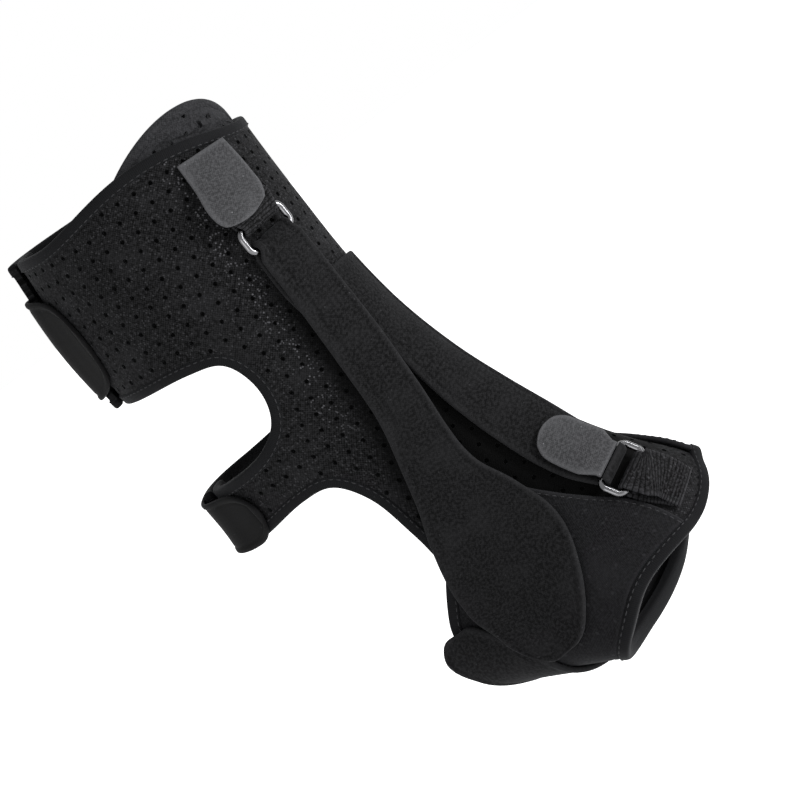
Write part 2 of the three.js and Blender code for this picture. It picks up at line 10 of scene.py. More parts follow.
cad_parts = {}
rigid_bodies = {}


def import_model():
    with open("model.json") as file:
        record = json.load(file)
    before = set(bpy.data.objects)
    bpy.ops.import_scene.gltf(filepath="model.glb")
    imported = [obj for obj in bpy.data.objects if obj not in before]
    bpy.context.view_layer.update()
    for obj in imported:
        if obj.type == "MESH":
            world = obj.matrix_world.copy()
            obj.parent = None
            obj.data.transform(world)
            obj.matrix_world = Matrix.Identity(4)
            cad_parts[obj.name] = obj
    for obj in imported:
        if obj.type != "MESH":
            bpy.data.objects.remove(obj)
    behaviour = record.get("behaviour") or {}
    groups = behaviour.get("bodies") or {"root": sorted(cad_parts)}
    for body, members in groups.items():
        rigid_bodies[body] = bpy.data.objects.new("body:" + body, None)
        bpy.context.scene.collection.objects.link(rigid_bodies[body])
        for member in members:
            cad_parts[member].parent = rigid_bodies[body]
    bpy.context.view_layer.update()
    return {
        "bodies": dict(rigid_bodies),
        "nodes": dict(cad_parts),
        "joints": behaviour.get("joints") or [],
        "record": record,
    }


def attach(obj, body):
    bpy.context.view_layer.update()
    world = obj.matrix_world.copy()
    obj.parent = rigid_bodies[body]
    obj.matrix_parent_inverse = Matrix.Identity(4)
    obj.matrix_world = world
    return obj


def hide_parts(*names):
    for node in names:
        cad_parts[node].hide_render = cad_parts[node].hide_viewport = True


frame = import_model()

bl_info = {
    "name": "Night splint",
    "version": (1, 0, 0),
    "blender": (4, 5, 0),
    "location": "3D View > Sidebar > Splint",
    "description": "Models a soft night splint for the ankle: sleeve, bound edges, straps, tabs and wire rings",
    "category": "Object",
}

# The row frame is in metres: the origin is the ankle joint, +Z runs up the leg, +X to the toes, -Y outwards
BODY = "root"
MM = 0.001


# Sizes and colours

def length(name, default_mm, description):
    """A length in metres, given in millimetres."""
    return FloatProperty(name=name, default=default_mm * MM, description=description, unit="LENGTH", precision=4)


def colour(name, value, description):
    """A linear colour."""
    return FloatVectorProperty(
        name=name, default=value, description=description, subtype="COLOR", size=3, min=0, max=1)


class SplintSizes(PropertyGroup):
    """Lengths of the splint."""
    leg_height: length("Leg height", 195, "Ankle joint to the top rim")
    calf_width: length("Calf width", 100, "Width of the leg at the cuff")
    foot_reach: length("Foot reach", 136, "Ankle joint to the toe end")
    foot_drop: length("Foot drop", 92, "Ankle joint to the sole")
    foot_width: length("Foot width", 96, "Width of the forefoot")
    toe_skew: length("Toe skew", 14, "How far the inner side runs ahead at the toe end")
    sleeve_wall: length("Sleeve wall", 3, "Thickness of the padded sleeve")
    wrap_wall: length("Wrap wall", 2.4, "Thickness of the foot wrap")
    strap_wall: length("Strap wall", 2, "Thickness of the straps")
    webbing_wall: length("Webbing wall", 1.6, "Thickness of the webbing")
    tab_wall: length("Tab wall", 1.6, "Thickness of the tabs")
    pad_wall: length("Pad wall", 4, "Thickness of the shin pad")
    binding_width: length("Binding width", 5.5, "Width of the bound edges")
    binding_proud: length("Binding proud", 0.8, "How far a bound edge stands out on each side")
    clearance: length("Clearance", 0.45, "Gap between layers")
    drape: length("Drape", 0.3, "More room under the foot wrap")
    slack: length("Slack", 0.8, "Looseness of a strap over what lies below it")
    wire: length("Wire", 3, "Thickness of the ring wire")
    ring_width: length("Ring width", 27, "Outer width of the rings")
    ring_height: length("Ring height", 14, "Outer height of the rings")
    strap_width: length("Strap width", 25, "Width of the straps")
    side_strap_width: length("Side strap width", 20, "Width of the side strap above its paddle")
    webbing_width: length("Webbing width", 19.6, "Width of the webbing")
    paddle_width: length("Paddle width", 57, "Width of the side strap's paddle")
    sole_strap_width: length("Sole strap width", 28, "Width of the strap under the sole")
    calf_tab_width: length("Calf tab width", 52, "Height of the tab on the calf cuff")
    ankle_tab_width: length("Ankle tab width", 29, "Height of the tab on the ankle band")
    stitch: length("Stitch", 2.3, "Length of a stitch")
    stitch_pitch: length("Stitch pitch", 3.3, "Distance from stitch to stitch")
    thread: length("Thread", 0.55, "Thickness of the sewing thread")
    hole_pitch: length("Hole pitch", 8, "Distance between ventilation holes")
    hole_width: length("Hole width", 2.1, "Width of a ventilation hole")


class SplintColours(PropertyGroup):
    """Colours of the splint and its stage."""
    neoprene: colour("Neoprene", (0.0042, 0.0042, 0.0045), "Face knit of the padded sleeve")
    pad: colour("Pad knit", (0.0125, 0.0126, 0.0136), "Lining knit of the shin pad")
    loop: colour("Loop fabric", (0.0054, 0.0054, 0.0059), "Brushed loop of the foot wrap")
    strap: colour("Strap", (0.0050, 0.0050, 0.0053), "Suede-like loop of the straps")
    binding: colour("Binding", (0.0044, 0.0045, 0.0050), "Stretch tape of the bound edges")
    webbing: colour("Webbing", (0.0026, 0.0026, 0.0028), "Ribbed webbing at the rings")
    hook: colour("Hook tape", (0.0290, 0.0292, 0.0308), "Grey tabs")
    thread: colour("Thread", (0.0170, 0.0170, 0.0180), "Sewing thread")
    steel: colour("Steel", (0.140, 0.140, 0.145), "Bright plated wire")
    floor: colour("Floor", (0.93, 0.93, 0.93), "Studio floor")


def sizes():
    return bpy.context.scene.splint_sizes


def colours():
    return bpy.context.scene.splint_colours


# The form of leg and foot

def curve_through(values, at):
    """Reads a column of values at fractional places, along a smooth curve through them."""
    values = np.asarray(values, float)
    padded = np.concatenate([[2 * values[0] - values[1]], values, [2 * values[-1] - values[-2]]])
    i = np.clip(np.floor(at).astype(int), 0, len(values) - 2)
    f = at - i
    a, b, c, d = (padded[i + k] for k in range(4))
    return b + 0.5 * f * (c - a + f * (2 * a - 5 * b + 4 * c - d + f * (3 * (b - c) + d - a)))


class Table:
    """Rows with named columns."""

    def __init__(self, names, *rows):
        self.columns = dict(zip(names.split(), np.array(rows, float).T))
        self.last = len(rows) - 1

    def read(self, name, at):
        return curve_through(self.columns[name], np.asarray(at, float))


# Sections from above the top rim to past the toe end. x: share of the foot's reach. z: share of the leg's height,
# or of the foot's drop below the ankle. half: share of half the width. middle: where the section is widest.
# skew: share of the toe skew. square: 2 is an ellipse, more is squarer on the sole side.
STATIONS = Table(
    "front_x front_z back_x back_z half middle skew square",
    (0.47, 1.16, -0.35, 1.19, 0.93, 0.50, 0, 2),
    (0.47, 0.97, -0.36, 1.00, 0.93, 0.50, 0, 2),
    (0.478, 0.77, -0.375, 0.78, 0.92, 0.50, 0, 2),
    (0.495, 0.60, -0.345, 0.58, 0.85, 0.47, 0, 2),
    (0.535, 0.438, -0.31, 0.41, 0.75, 0.43, 0, 2),
    (0.602, 0.293, -0.29, 0.25, 0.69, 0.40, 0, 2),
    (0.687, 0.17, -0.28, 0.02, 0.66, 0.37, 0.05, 2.1),
    (0.777, 0.06, -0.12, -0.54, 0.67, 0.35, 0.20, 2.2),
    (0.847, -0.05, 0.16, -0.745, 0.73, 0.33, 0.45, 2.4),
    (0.907, -0.195, 0.39, -0.82, 0.80, 0.32, 0.70, 2.5),
    (0.968, -0.315, 0.56, -0.88, 0.86, 0.32, 0.90, 2.5),
    (1.025, -0.455, 0.68, -0.92, 0.89, 0.32, 1, 2.5),
    (1.08, -0.635, 0.78, -0.95, 0.90, 0.32, 1, 2.5),
)


def smooth(low, high, x):
    t = np.clip((np.asarray(x, float) - low) / (high - low), 0, 1)
    return t * t * (3 - 2 * t)


def mix(a, b, share):
    return a + (b - a) * share


def unit(v):
    return v / np.maximum(np.linalg.norm(v, axis=-1, keepdims=True), 1e-12)


def height(share):
    """A height from a share of the leg's height, or of the foot's drop below the ankle."""
    return np.where(np.asarray(share) > 0, share * sizes().leg_height, share * sizes().foot_drop)


def skin(row, turn):
    """Points of leg and foot. row counts the sections, turn is the angle from the front, positive outwards."""
    s = sizes()
    row, turn = np.broadcast_arrays(np.asarray(row, float), np.asarray(turn, float))

    def end(side):
        x = STATIONS.read(side + "_x", row) * s.foot_reach
        z = curve_through(height(STATIONS.columns[side + "_z"]), row)
        return np.stack([x, 0 * x, z], -1)

    front, back = end("front"), end("back")
    middle = mix(back, front, STATIONS.read("middle", row)[..., None])
    c, w = np.cos(np.radians(turn)), np.sin(np.radians(turn))
    power = np.where(c > 0, 1, 2 / STATIONS.read("square", row))
    reach = np.where((c > 0)[..., None], front, back) - middle
    point = middle + reach * (np.abs(c) ** power)[..., None]
    side = np.sign(w) * np.abs(w) ** power
    width = mix(s.calf_width, s.foot_width, smooth(5, 10, row))
    point[..., 1] -= side * STATIONS.read("half", row) * width / 2
    point[..., 0] -= side * STATIONS.read("skew", row) * s.toe_skew
    return point


ROW_STEP, TURN_STEP = 0.02, 0.3


def slopes(row, turn):
    """How the skin runs on, for each row and for each degree."""
    along_row = (skin(row + ROW_STEP, turn) - skin(row - ROW_STEP, turn)) / (2 * ROW_STEP)
    along_turn = (skin(row, turn + TURN_STEP) - skin(row, turn - TURN_STEP)) / (2 * TURN_STEP)
    return along_row, along_turn


def normal(row, turn):
    along_row, along_turn = slopes(row, turn)
    return unit(np.cross(along_turn, along_row))


def over(row, turn, lift):
    """Points that stand off the skin by lift."""
    return skin(row, turn) + normal(row, turn) * np.asarray(lift)[..., None]


def rows_for(row, turn, distance):
    """How many rows a distance along the leg or foot takes."""
    return distance / np.linalg.norm(slopes(row, turn)[0], axis=-1)


def walk(row, turn, direction, distance, steps=14):
    """Places that lie a distance away in a direction along the skin."""
    row, turn = row + 0 * distance, turn + 0 * distance
    for _ in range(steps):
        u, v = slopes(row, turn)
        uu, uv, vv = (u * u).sum(-1), (u * v).sum(-1), (v * v).sum(-1)
        du, dv = (u * direction).sum(-1), (v * direction).sum(-1)
        share = distance / steps / (uu * vv - uv * uv)
        row = row + (du * vv - dv * uv) * share
        turn = turn + (dv * uu - du * uv) * share
    return row, turn


# Lifts of the layers over the skin

def over_sleeve():
    return sizes().sleeve_wall + sizes().clearance


def under_wrap():
    return over_sleeve() + sizes().drape


def over_wrap():
    return under_wrap() + sizes().wrap_wall + sizes().clearance


def over_binding():
    return over_wrap() + sizes().binding_proud


def arm_step():
    return sizes().sleeve_wall + 2 * sizes().binding_proud + sizes().clearance


def arm_lift(turn):
    """The inner arms of cuff and ankle band lie over the ends of the outer ones."""
    return arm_step() * smooth(128, 170, -np.asarray(turn, float))


def ring_lift():
    """A ring's wire lies off the strap that comes up under its bar."""
    return over_sleeve() + sizes().strap_wall + sizes().clearance + sizes().wire / 2


def over_bar():
    return ring_lift() + sizes().wire / 2 + sizes().clearance


def under_bar():
    return ring_lift() - sizes().wire / 2 - sizes().clearance


# Edges of sleeve and wrap
ARM_ENDS = (-202, 178)
TOE_EDGE = {
    "turn": (-180, -100, -34, -12, 2, 20, 42, 62, 90, 120, 150, 180),
    "row": (10.6, 10.2, 10.25, 11.0, 11.3, 11.48, 11.25, 11.0, 11.15, 11.0, 10.8, 10.6),
}


def rim_edge(turn):
    """The top end of the sleeve as rows: it stands higher over the outer side of the calf."""
    away = np.clip((np.asarray(turn, float) - 58) / 66, -1, 1)
    return 1.14 - 0.24 * np.cos(away * math.pi / 2) ** 2


def toe_edge(turn):
    """The toe end as rows, with its corners eased over a few degrees."""
    reading = [np.interp((turn + ease + 180) % 360 - 180, TOE_EDGE["turn"], TOE_EDGE["row"])
               for ease in (-10, -6, -3, 0, 3, 6, 10)]
    return sum(reading) / len(reading)


def wrap_top(row):
    """The upper edges of the wrap, in degrees from the front on both sides."""
    return mix(43, 26, smooth(6.2, 11.2, row))


def wrap_rear(turn):
    """The rear edge of the wrap as rows."""
    return 6.6 + 1.5 * smooth(45, 125, 180 - np.abs(180 - np.abs(turn)))


# Openings in the side view, as shares of the same sizes, clockwise
WINDOW = (
    (-0.75, 0.62), (-0.35, 0.603), (0.02, 0.594), (0.13, 0.57), (0.165, 0.49), (0.13, 0.41),
    (0.03, 0.362), (-0.18, 0.336), (-0.36, 0.328), (-0.75, 0.33),
)
HEEL = (
    (-0.75, 0.14), (-0.36, 0.158), (-0.15, 0.19), (0.05, 0.218), (0.15, 0.212), (0.228, 0.145), (0.278, 0.02),
    (0.318, -0.20), (0.455, -0.42), (0.675, -0.56), (0.95, -0.70), (1.3, -1.0), (1.2, -1.8), (0.2, -1.9),
    (-0.75, -1.5),
)


def outline(shares, grow, per_span=16):
    """A closed smooth line through an opening's points in the side view, grown outwards."""
    points = np.array([(x * sizes().foot_reach, float(height(z))) for x, z in shares])
    before, start, end, after = (np.roll(points, k, 0)[:, None] for k in (1, 0, -1, -2))
    t = np.linspace(0, 1, per_span, endpoint=False)[None, :, None]

    def span(a, b):
        return np.linalg.norm(b - a, axis=-1, keepdims=True) ** 0.5

    d0, d1, d2 = span(before, start), span(start, end), span(end, after)
    leave = ((start - before) / d0 - (end - before) / (d0 + d1) + (end - start) / d1) * d1
    arrive = ((end - start) / d1 - (after - start) / (d1 + d2) + (after - end) / d2) * d1
    curve = ((2 * t**3 - 3 * t**2 + 1) * start + (t**3 - 2 * t**2 + t) * leave
             + (3 * t**2 - 2 * t**3) * end + (t**3 - t**2) * arrive).reshape(-1, 2)
    ahead = unit(np.roll(curve, -1, 0) - np.roll(curve, 1, 0))
    return curve + grow * np.stack([-ahead[:, 1], ahead[:, 0]], -1)


def inside(loop, x, z):
    """Which points of the side view lie inside a closed line."""
    hit = np.zeros(np.shape(x), bool)
    for (x0, z0), (x1, z1) in zip(loop, np.roll(loop, -1, 0)):
        if z0 == z1:
            continue
        crosses = (z0 > z) != (z1 > z)
        hit ^= crosses & (x < (x1 - x0) * (z - z0) / (z1 - z0) + x0)
    return hit


def side_step(row, turn, lift, target):
    """One damped step of row and turn that brings a point of the skin nearer to a place in the side view."""
    axes = [0, 2]
    miss = target - over(row, turn, lift)[..., axes]
    u, v = (slope[..., axes] for slope in slopes(row, turn))
    damp = (0.3 * MM) ** 2
    uu, uv, vv = (u * u).sum(-1) + damp, (u * v).sum(-1), (v * v).sum(-1) + damp / 100
    du, dv = (u * miss).sum(-1), (v * miss).sum(-1)
    share = 1 / (uu * vv - uv * uv)
    row_step = np.clip((du * vv - dv * uv) * share, -0.2, 0.2)
    turn_step = np.clip((dv * uu - du * uv) * share, -5, 5)
    return row + row_step, turn + turn_step


def edge_places(shares, side, grow, lift, back_turn=150):
    """Places along an opening's edge on one side, 1 outer or -1 inner, from its upper back end to its lower one."""
    loop = outline(shares, grow)
    front = int(np.argmax(np.where(loop[:, 1] > -0.02, loop[:, 0], -1)))
    rows, turns = np.meshgrid(np.linspace(1, 9, 81), side * np.linspace(15, 120, 71), indexing="ij")
    grid = over(rows, turns, lift * np.ones_like(rows))[..., [0, 2]]
    near = np.unravel_index(np.argmin(((grid - loop[front]) ** 2).sum(-1)), rows.shape)
    halves = []
    for way in (-1, 1):
        row, turn = rows[near], turns[near]
        found = []
        k = front
        while 0 < k < len(loop) - 1:
            for _ in range(5):
                row, turn = side_step(row, turn, np.array(lift), loop[k])
            if abs(turn) > back_turn or row > 9.5:
                break
            found.append((float(row), float(turn)))
            k += way
        branch = loop[: front + 1] if way < 0 else loop[front:]
        order = np.argsort(branch[:, 0])
        if abs(turn) > back_turn:
            end = ARM_ENDS[1] if side > 0 else ARM_ENDS[0]
            for at in np.arange(found[-1][1] + 2 * side, end + side, 2 * side):
                for _ in range(6):
                    here = over(row, at, lift + arm_lift(at))
                    level = np.interp(here[0], branch[order, 0], branch[order, 1])
                    row = row + np.clip((level - here[2]) / slopes(row, at)[0][2], -0.2, 0.2)
                found.append((float(row), float(at)))
        halves.append(found)
    return np.array(halves[0][::-1] + halves[1][1:])


# Meshes

def select_only(obj):
    bpy.ops.object.select_all(action="DESELECT")
    obj.select_set(True)
    bpy.context.view_layer.objects.active = obj


def grid_mesh(name, points, uv, merge=0.02 * MM, **marks):
    """A grid primitive with one point for each entry of points, put in place, with its doubles merged."""
    bpy.ops.object.select_all(action="DESELECT")
    down, across = points.shape[:2]
    bpy.ops.mesh.primitive_grid_add(x_subdivisions=across - 1, y_subdivisions=down - 1, size=1)
    obj = bpy.context.object
    obj.name = obj.data.name = name
    mesh = obj.data
    flat = np.empty(len(mesh.vertices) * 3, np.float32)
    mesh.vertices.foreach_get("co", flat)
    flat = flat.reshape(-1, 3)
    j = np.rint((flat[:, 0] + 0.5) * (across - 1)).astype(int)
    i = np.rint((flat[:, 1] + 0.5) * (down - 1)).astype(int)
    mesh.vertices.foreach_set("co", points[i, j].astype(np.float32).ravel())
    corner = np.empty(len(mesh.loops), np.int32)
    mesh.loops.foreach_get("vertex_index", corner)
    layer = mesh.uv_layers.active or mesh.uv_layers.new(name="UVMap")
    layer.data.foreach_set("uv", uv[i, j][corner].astype(np.float32).ravel())
    for mark, values in marks.items():
        mesh.attributes.new(mark, "FLOAT", "POINT").data.foreach_set("value", values[i, j].astype(np.float32))
    mesh.update()
    if merge:
        bpy.ops.object.mode_set(mode="EDIT")
        bpy.ops.mesh.select_all(action="SELECT")
        bpy.ops.mesh.remove_doubles(threshold=merge)
        bpy.ops.mesh.normals_make_consistent(inside=False)
        bpy.ops.object.mode_set(mode="OBJECT")
    bpy.ops.object.shade_smooth()
    return obj


def lengths(points):
    """Distances along a line of points."""
    return np.concatenate([[0], np.cumsum(np.linalg.norm(np.diff(points, axis=0), axis=-1))])


def spaced(total, step, end_round, edge):
    """Places along a band, in metres, closer together at its ends and where the far one is rounded."""
    arc = 1 - np.cos(np.radians(np.linspace(0, 90, 15)))
    blunt = np.array([0, 0.1, 0.4, 1.0])
    start = blunt * edge
    end = total - (arc * end_round if end_round else blunt * edge)[::-1]
    count = max(2, int((end[0] - start[-1]) / step))
    return np.concatenate([start[:-1], np.linspace(start[-1], end[0], count), end[1:]])


def round_share(distance, radius):
    """How much of its width a band keeps at a distance from its round end."""
    if not radius:
        return np.ones_like(distance)
    q = np.clip(1 - distance / radius, 0, 1)
    return np.sqrt(np.maximum(0, 1 - q * q))


def across_offsets(half, count, edge):
    """Signed distances from a band's middle line, closer together at its two edges."""
    half = np.maximum(half, 1e-6)[:, None]
    bend = np.minimum(edge, half / 2)
    rim = np.array([0, 0.1, 0.4])[None, :] * bend
    inner = np.linspace(-1, 1, count)[None, :] * (half - bend)
    return np.concatenate([-half + rim, inner, (half - rim)[:, ::-1]], 1)


def pillow(name, middle, out, edge_distance, uv, thick, edge=None, relief=None):
    """A closed body round a middle surface, with rounded edges. relief lifts its outer face."""
    edge = edge or thick / 2
    q = np.clip(1 - edge_distance / edge, 0, 1)
    swell = thick / 2 * np.sqrt(np.maximum(0, 1 - q * q))
    boosted = 0 if relief is None else relief * (swell / (thick / 2))
    outer = middle + out * (swell + boosted)[..., None]
    inner = middle - out * swell[..., None]
    points = np.concatenate([outer, inner[:, ::-1]], 1)
    near = 1 - smooth(0, 2.5 * MM, edge_distance)
    return grid_mesh(name, points, np.concatenate([uv, uv[:, ::-1]], 1),
                     edge=np.concatenate([near, near[:, ::-1]], 1))


def band_table(*rows):
    """The middle line of a band: row and turn on the skin, half its width, and how far it lies off the skin."""
    return Table("row turn half lift", *rows)


class Band:
    """A strap or tab that lies along a line on the skin."""

    def __init__(self, table, thick, step=1.6 * MM, columns=29, round_end=0, rise=None, width=1, upward=False, ease=0):
        self.table, self.thick, self.width, self.round_end = table, thick, width, round_end
        self.rise = rise or (lambda row, turn: 0)
        self.fine = np.linspace(0, table.last, 400)
        row, turn = table.read("row", self.fine), table.read("turn", self.fine)
        line = skin(row, turn)
        self.along = along = lengths(line)
        self.total = along[-1]
        self.sides = unit(np.cross(normal(row, turn), np.gradient(line, along, axis=0))) * (-1 if upward else 1)
        if ease:
            reach = np.maximum(ease * smooth(0, 25 * MM, along), 0.1 * MM)[:, None]
            weights = np.exp(-0.5 * ((along[None, :] - along[:, None]) / reach) ** 2)
            self.sides = unit(weights @ self.sides)
        self.places = spaced(self.total, step, round_end, thick / 2)
        self.half = self.half_at(self.places)
        self.offsets = across_offsets(self.half, columns, thick / 2)

    def half_at(self, places):
        at = np.interp(places, self.along, self.fine)
        return self.table.read("half", at) * self.width * round_share(self.total - places, self.round_end)

    def spots(self, places, offsets):
        """Row, turn and lift at distances along and across."""
        at = np.interp(places, self.along, self.fine)
        row, turn, lift = (self.table.read(name, at) for name in ("row", "turn", "lift"))
        side = unit(np.stack([np.interp(places, self.along, self.sides[:, k]) for k in range(3)], -1))
        if np.ndim(offsets) == 2:
            row, turn, lift, side = row[:, None], turn[:, None], lift[:, None], side[:, None]
        r, t = walk(row, turn, side, offsets)
        return r, t, lift + self.rise(r, t) + 0 * r

    def grids(self):
        """Middle surface, its outward normals, distance from the edge and UV."""
        r, t, lift = self.spots(self.places, self.offsets)
        middle, out = over(r, t, lift + self.thick / 2), normal(r, t)
        ends = np.minimum(self.places, self.total - self.places)
        distance = np.minimum(self.half[:, None] - np.abs(self.offsets), ends[:, None])
        uv = np.stack([self.offsets, np.broadcast_to(self.places[:, None], self.offsets.shape)], -1)
        return middle, out, distance, uv

    def seam(self, inset, from_place=0.0, to_place=None):
        """Lines of points and normals on the outer face, at an inset from the two long edges and round the end."""
        last = self.total if to_place is None else to_place
        places = np.linspace(from_place, last, 400)
        keep = places < self.total - inset
        places = places[keep]
        half = self.half_at(places) - inset
        places, half = places[half > 0], half[half > 0]
        lines = []
        for side in (1, -1):
            r, t, lift = self.spots(places, side * half)
            lines.append((over(r, t, lift + self.thick), normal(r, t)))
        if self.round_end and to_place is None:
            return [(np.concatenate([lines[0][0], lines[1][0][::-1]]),
                     np.concatenate([lines[0][1], lines[1][1][::-1]]))]
        return lines

    def build(self, name, relief=None):
        middle, out, distance, uv = self.grids()
        boosted = None if relief is None else relief(distance, uv)
        return pillow(name, middle, out, distance, uv, self.thick, relief=boosted)


def groove(distance, inset, depth, width):
    """A soft line pressed in at an inset from the edge."""
    return -depth * np.exp(-(((distance - inset) / width) ** 2))


def cord_body(name, centre, out, half_width, half_height, closed=False, sides=20, squareness=3.6):
    """A bound edge: a rounded flat section swept along a line."""
    if closed:
        ahead = unit(np.roll(centre, -1, 0) - np.roll(centre, 1, 0))
    else:
        ahead = unit(np.gradient(centre, axis=0))
    across = unit(np.cross(out, ahead))
    out = unit(np.cross(ahead, across))
    angle = np.linspace(0, 2 * math.pi, sides + 1)
    power = 2 / squareness
    w = np.sign(np.cos(angle)) * np.abs(np.cos(angle)) ** power
    h = np.sign(np.sin(angle)) * np.abs(np.sin(angle)) ** power
    along = lengths(centre)
    shrink = np.ones(len(centre))
    if not closed:
        shrink = round_share(np.minimum(along, along[-1] - along), 1.2 * MM)
    half_width = np.broadcast_to(half_width, len(centre)) * shrink
    half_height = np.broadcast_to(half_height, len(centre)) * shrink
    points = (centre[:, None] + across[:, None] * (half_width[:, None] * w)[..., None]
              + out[:, None] * (half_height[:, None] * h)[..., None])
    around = lengths(np.stack([half_width.max() * w, half_height.max() * h, 0 * w], -1))
    uv = np.stack(np.meshgrid(around, along), -1)
    if closed:
        points = np.concatenate([points, points[:1]])
        last = along[-1] + np.linalg.norm(centre[0] - centre[-1])
        uv = np.concatenate([uv, np.stack([around, np.full_like(around, last)], -1)[None]])
    return grid_mesh(name, points, uv)


def resampled(points, step, *others):
    """A line and its companions at an even step."""
    along = lengths(points)
    places = np.linspace(0, along[-1], max(2, int(round(along[-1] / step)) + 1))
    return [np.stack([np.interp(places, along, a[:, k]) for k in range(a.shape[1])], -1)
            for a in (points, *others)]


def stitches(name, lines):
    """Rows of stitches along lines of points and normals, as one joined mesh."""
    s = sizes()
    bpy.ops.object.select_all(action="DESELECT")
    bpy.ops.mesh.primitive_uv_sphere_add(segments=6, ring_count=5, radius=0.5)
    obj = bpy.context.object
    obj.name = obj.data.name = name
    bpy.ops.object.mode_set(mode="EDIT")
    bpy.ops.mesh.select_all(action="SELECT")
    bpy.ops.transform.rotate(value=math.radians(90), orient_axis="Y", center_override=(0, 0, 0))
    bpy.ops.transform.resize(value=(s.stitch, s.thread, s.thread), center_override=(0, 0, 0))
    bpy.ops.object.mode_set(mode="OBJECT")
    shape = np.array([v.co for v in obj.data.vertices])
    faces = [tuple(p.vertices) for p in obj.data.polygons]
    shape[:, 2] -= s.thread * 1.2 * (np.abs(shape[:, 0]) / s.stitch) ** 2
    vertices, polygons = [], []
    for points, out in lines:
        spots, ups = resampled(points, s.stitch_pitch, out)
        middle = (spots[1:] + spots[:-1]) / 2
        ahead, up = unit(spots[1:] - spots[:-1]), unit(ups[1:] + ups[:-1])
        side = unit(np.cross(up, ahead))
        up = np.cross(ahead, side)
        for place, x, y, z in zip(middle, ahead, side, up):
            base = len(vertices) * len(shape)
            vertices.append(place + shape @ np.stack([x, y, z]) + z * s.thread * 0.05)
            polygons += [tuple(base + k for k in face) for face in faces]
    mesh = bpy.data.meshes.new(name)
    mesh.from_pydata(np.concatenate(vertices).tolist(), [], polygons)
    old, obj.data = obj.data, mesh
    bpy.data.meshes.remove(old)
    mesh.name = name
    select_only(obj)
    bpy.ops.object.shade_smooth()
    return obj


def place_piece(obj, slot, material, *nodes):
    """Gives a piece its material, its body and the CAD nodes that it stands for."""
    obj.data.materials.clear()
    obj.data.materials.append(material)
    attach(obj, BODY)
    if nodes:
        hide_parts(*nodes)
    return obj


def sew(name, slot, lines):
    """Gives rows of stitches their thread and their body."""
    return place_piece(stitches(name, lines), slot, cloth("thread"))


# Materials

class Nodes:
    """Adds nodes to a tree and links them. An input is given by its name, or by i and its number."""

    def __init__(self, tree):
        self.tree = tree

    def add(self, kind, settings=(), **inputs):
        node = self.tree.nodes.new(kind)
        for key, value in dict(settings).items():
            setattr(node, key, value)
        for key, value in inputs.items():
            self.put(node, int(key[1:]) if key[1:].isdigit() else key.replace("_", " "), value)
        return node

    def put(self, node, key, value):
        socket = node.inputs[key]
        if isinstance(value, bpy.types.NodeSocket):
            self.tree.links.new(value, socket)
        else:
            socket.default_value = value

    def math(self, operation, a, b=0.0, c=0.0):
        node = self.add("ShaderNodeMath", {"operation": operation})
        for k, value in enumerate((a, b, c)):
            if k < len(node.inputs):
                self.put(node, k, value)
        return node.outputs[0]

    def length(self, vector):
        return self.add("ShaderNodeVectorMath", {"operation": "LENGTH"}, i0=vector).outputs["Value"]

    def step(self, value, low, high, to_low=0.0, to_high=1.0):
        node = self.add("ShaderNodeMapRange", {"interpolation_type": "SMOOTHSTEP"})
        for key, number in (("Value", value), ("From Min", low), ("From Max", high),
                            ("To Min", to_low), ("To Max", to_high)):
            self.put(node, key, number)
        return node.outputs["Result"]

    def mark(self, name):
        """An attribute of the mesh, from 0 to 1."""
        return self.add("ShaderNodeAttribute", {"attribute_name": name}).outputs["Fac"]

    def noise(self, vector, scale, detail=2.0, roughness=0.5):
        node = self.add("ShaderNodeTexNoise", Vector=vector, Scale=scale, Detail=detail, Roughness=roughness)
        return node.outputs["Fac"]


def fabric_grain(n, i):
    """Fine weave or knit, from even threads to loose fuzz."""
    rate = n.math("DIVIDE", 2 * math.pi, i["Pitch"])
    apart = n.add("ShaderNodeSeparateXYZ", i0=i["Vector"])
    waves = [n.math("SINE", n.math("MULTIPLY", apart.outputs[k], rate)) for k in (0, 1)]
    weave = n.math("MULTIPLY_ADD", n.math("MULTIPLY", *waves), 0.5, 0.5)
    fuzz = n.noise(i["Vector"], n.math("DIVIDE", 0.9, i["Pitch"]), 3, 0.6)
    blend = n.add("ShaderNodeMix", {"data_type": "FLOAT"}, i0=i["Fuzz"], i2=weave, i3=fuzz)
    return {"Height": blend.outputs[0], "Tone": n.step(blend.outputs[0], 0.38, 0.64)}


def rubbed_patches(n, i):
    """Soft patches where the face is rubbed or crushed."""
    patch = n.noise(i["Vector"], n.math("DIVIDE", 1, i["Patch"]), 4, 0.6)
    return {"Mask": n.step(patch, 0.42, 0.72)}


def lint_specks(n, i):
    """Tiny scattered specks of lint."""
    cells = n.add("ShaderNodeTexVoronoi", Vector=i["Vector"], Scale=n.math("DIVIDE", 1, i["Spacing"]))
    apart = n.add("ShaderNodeSeparateXYZ", i0=cells.outputs["Color"])
    chosen = n.math("LESS_THAN", apart.outputs[0], i["Share"])
    near = n.step(cells.outputs["Distance"], n.math("MULTIPLY", i["Size"], 0.3), i["Size"], 1, 0)
    return {"Mask": n.math("MULTIPLY", chosen, near)}


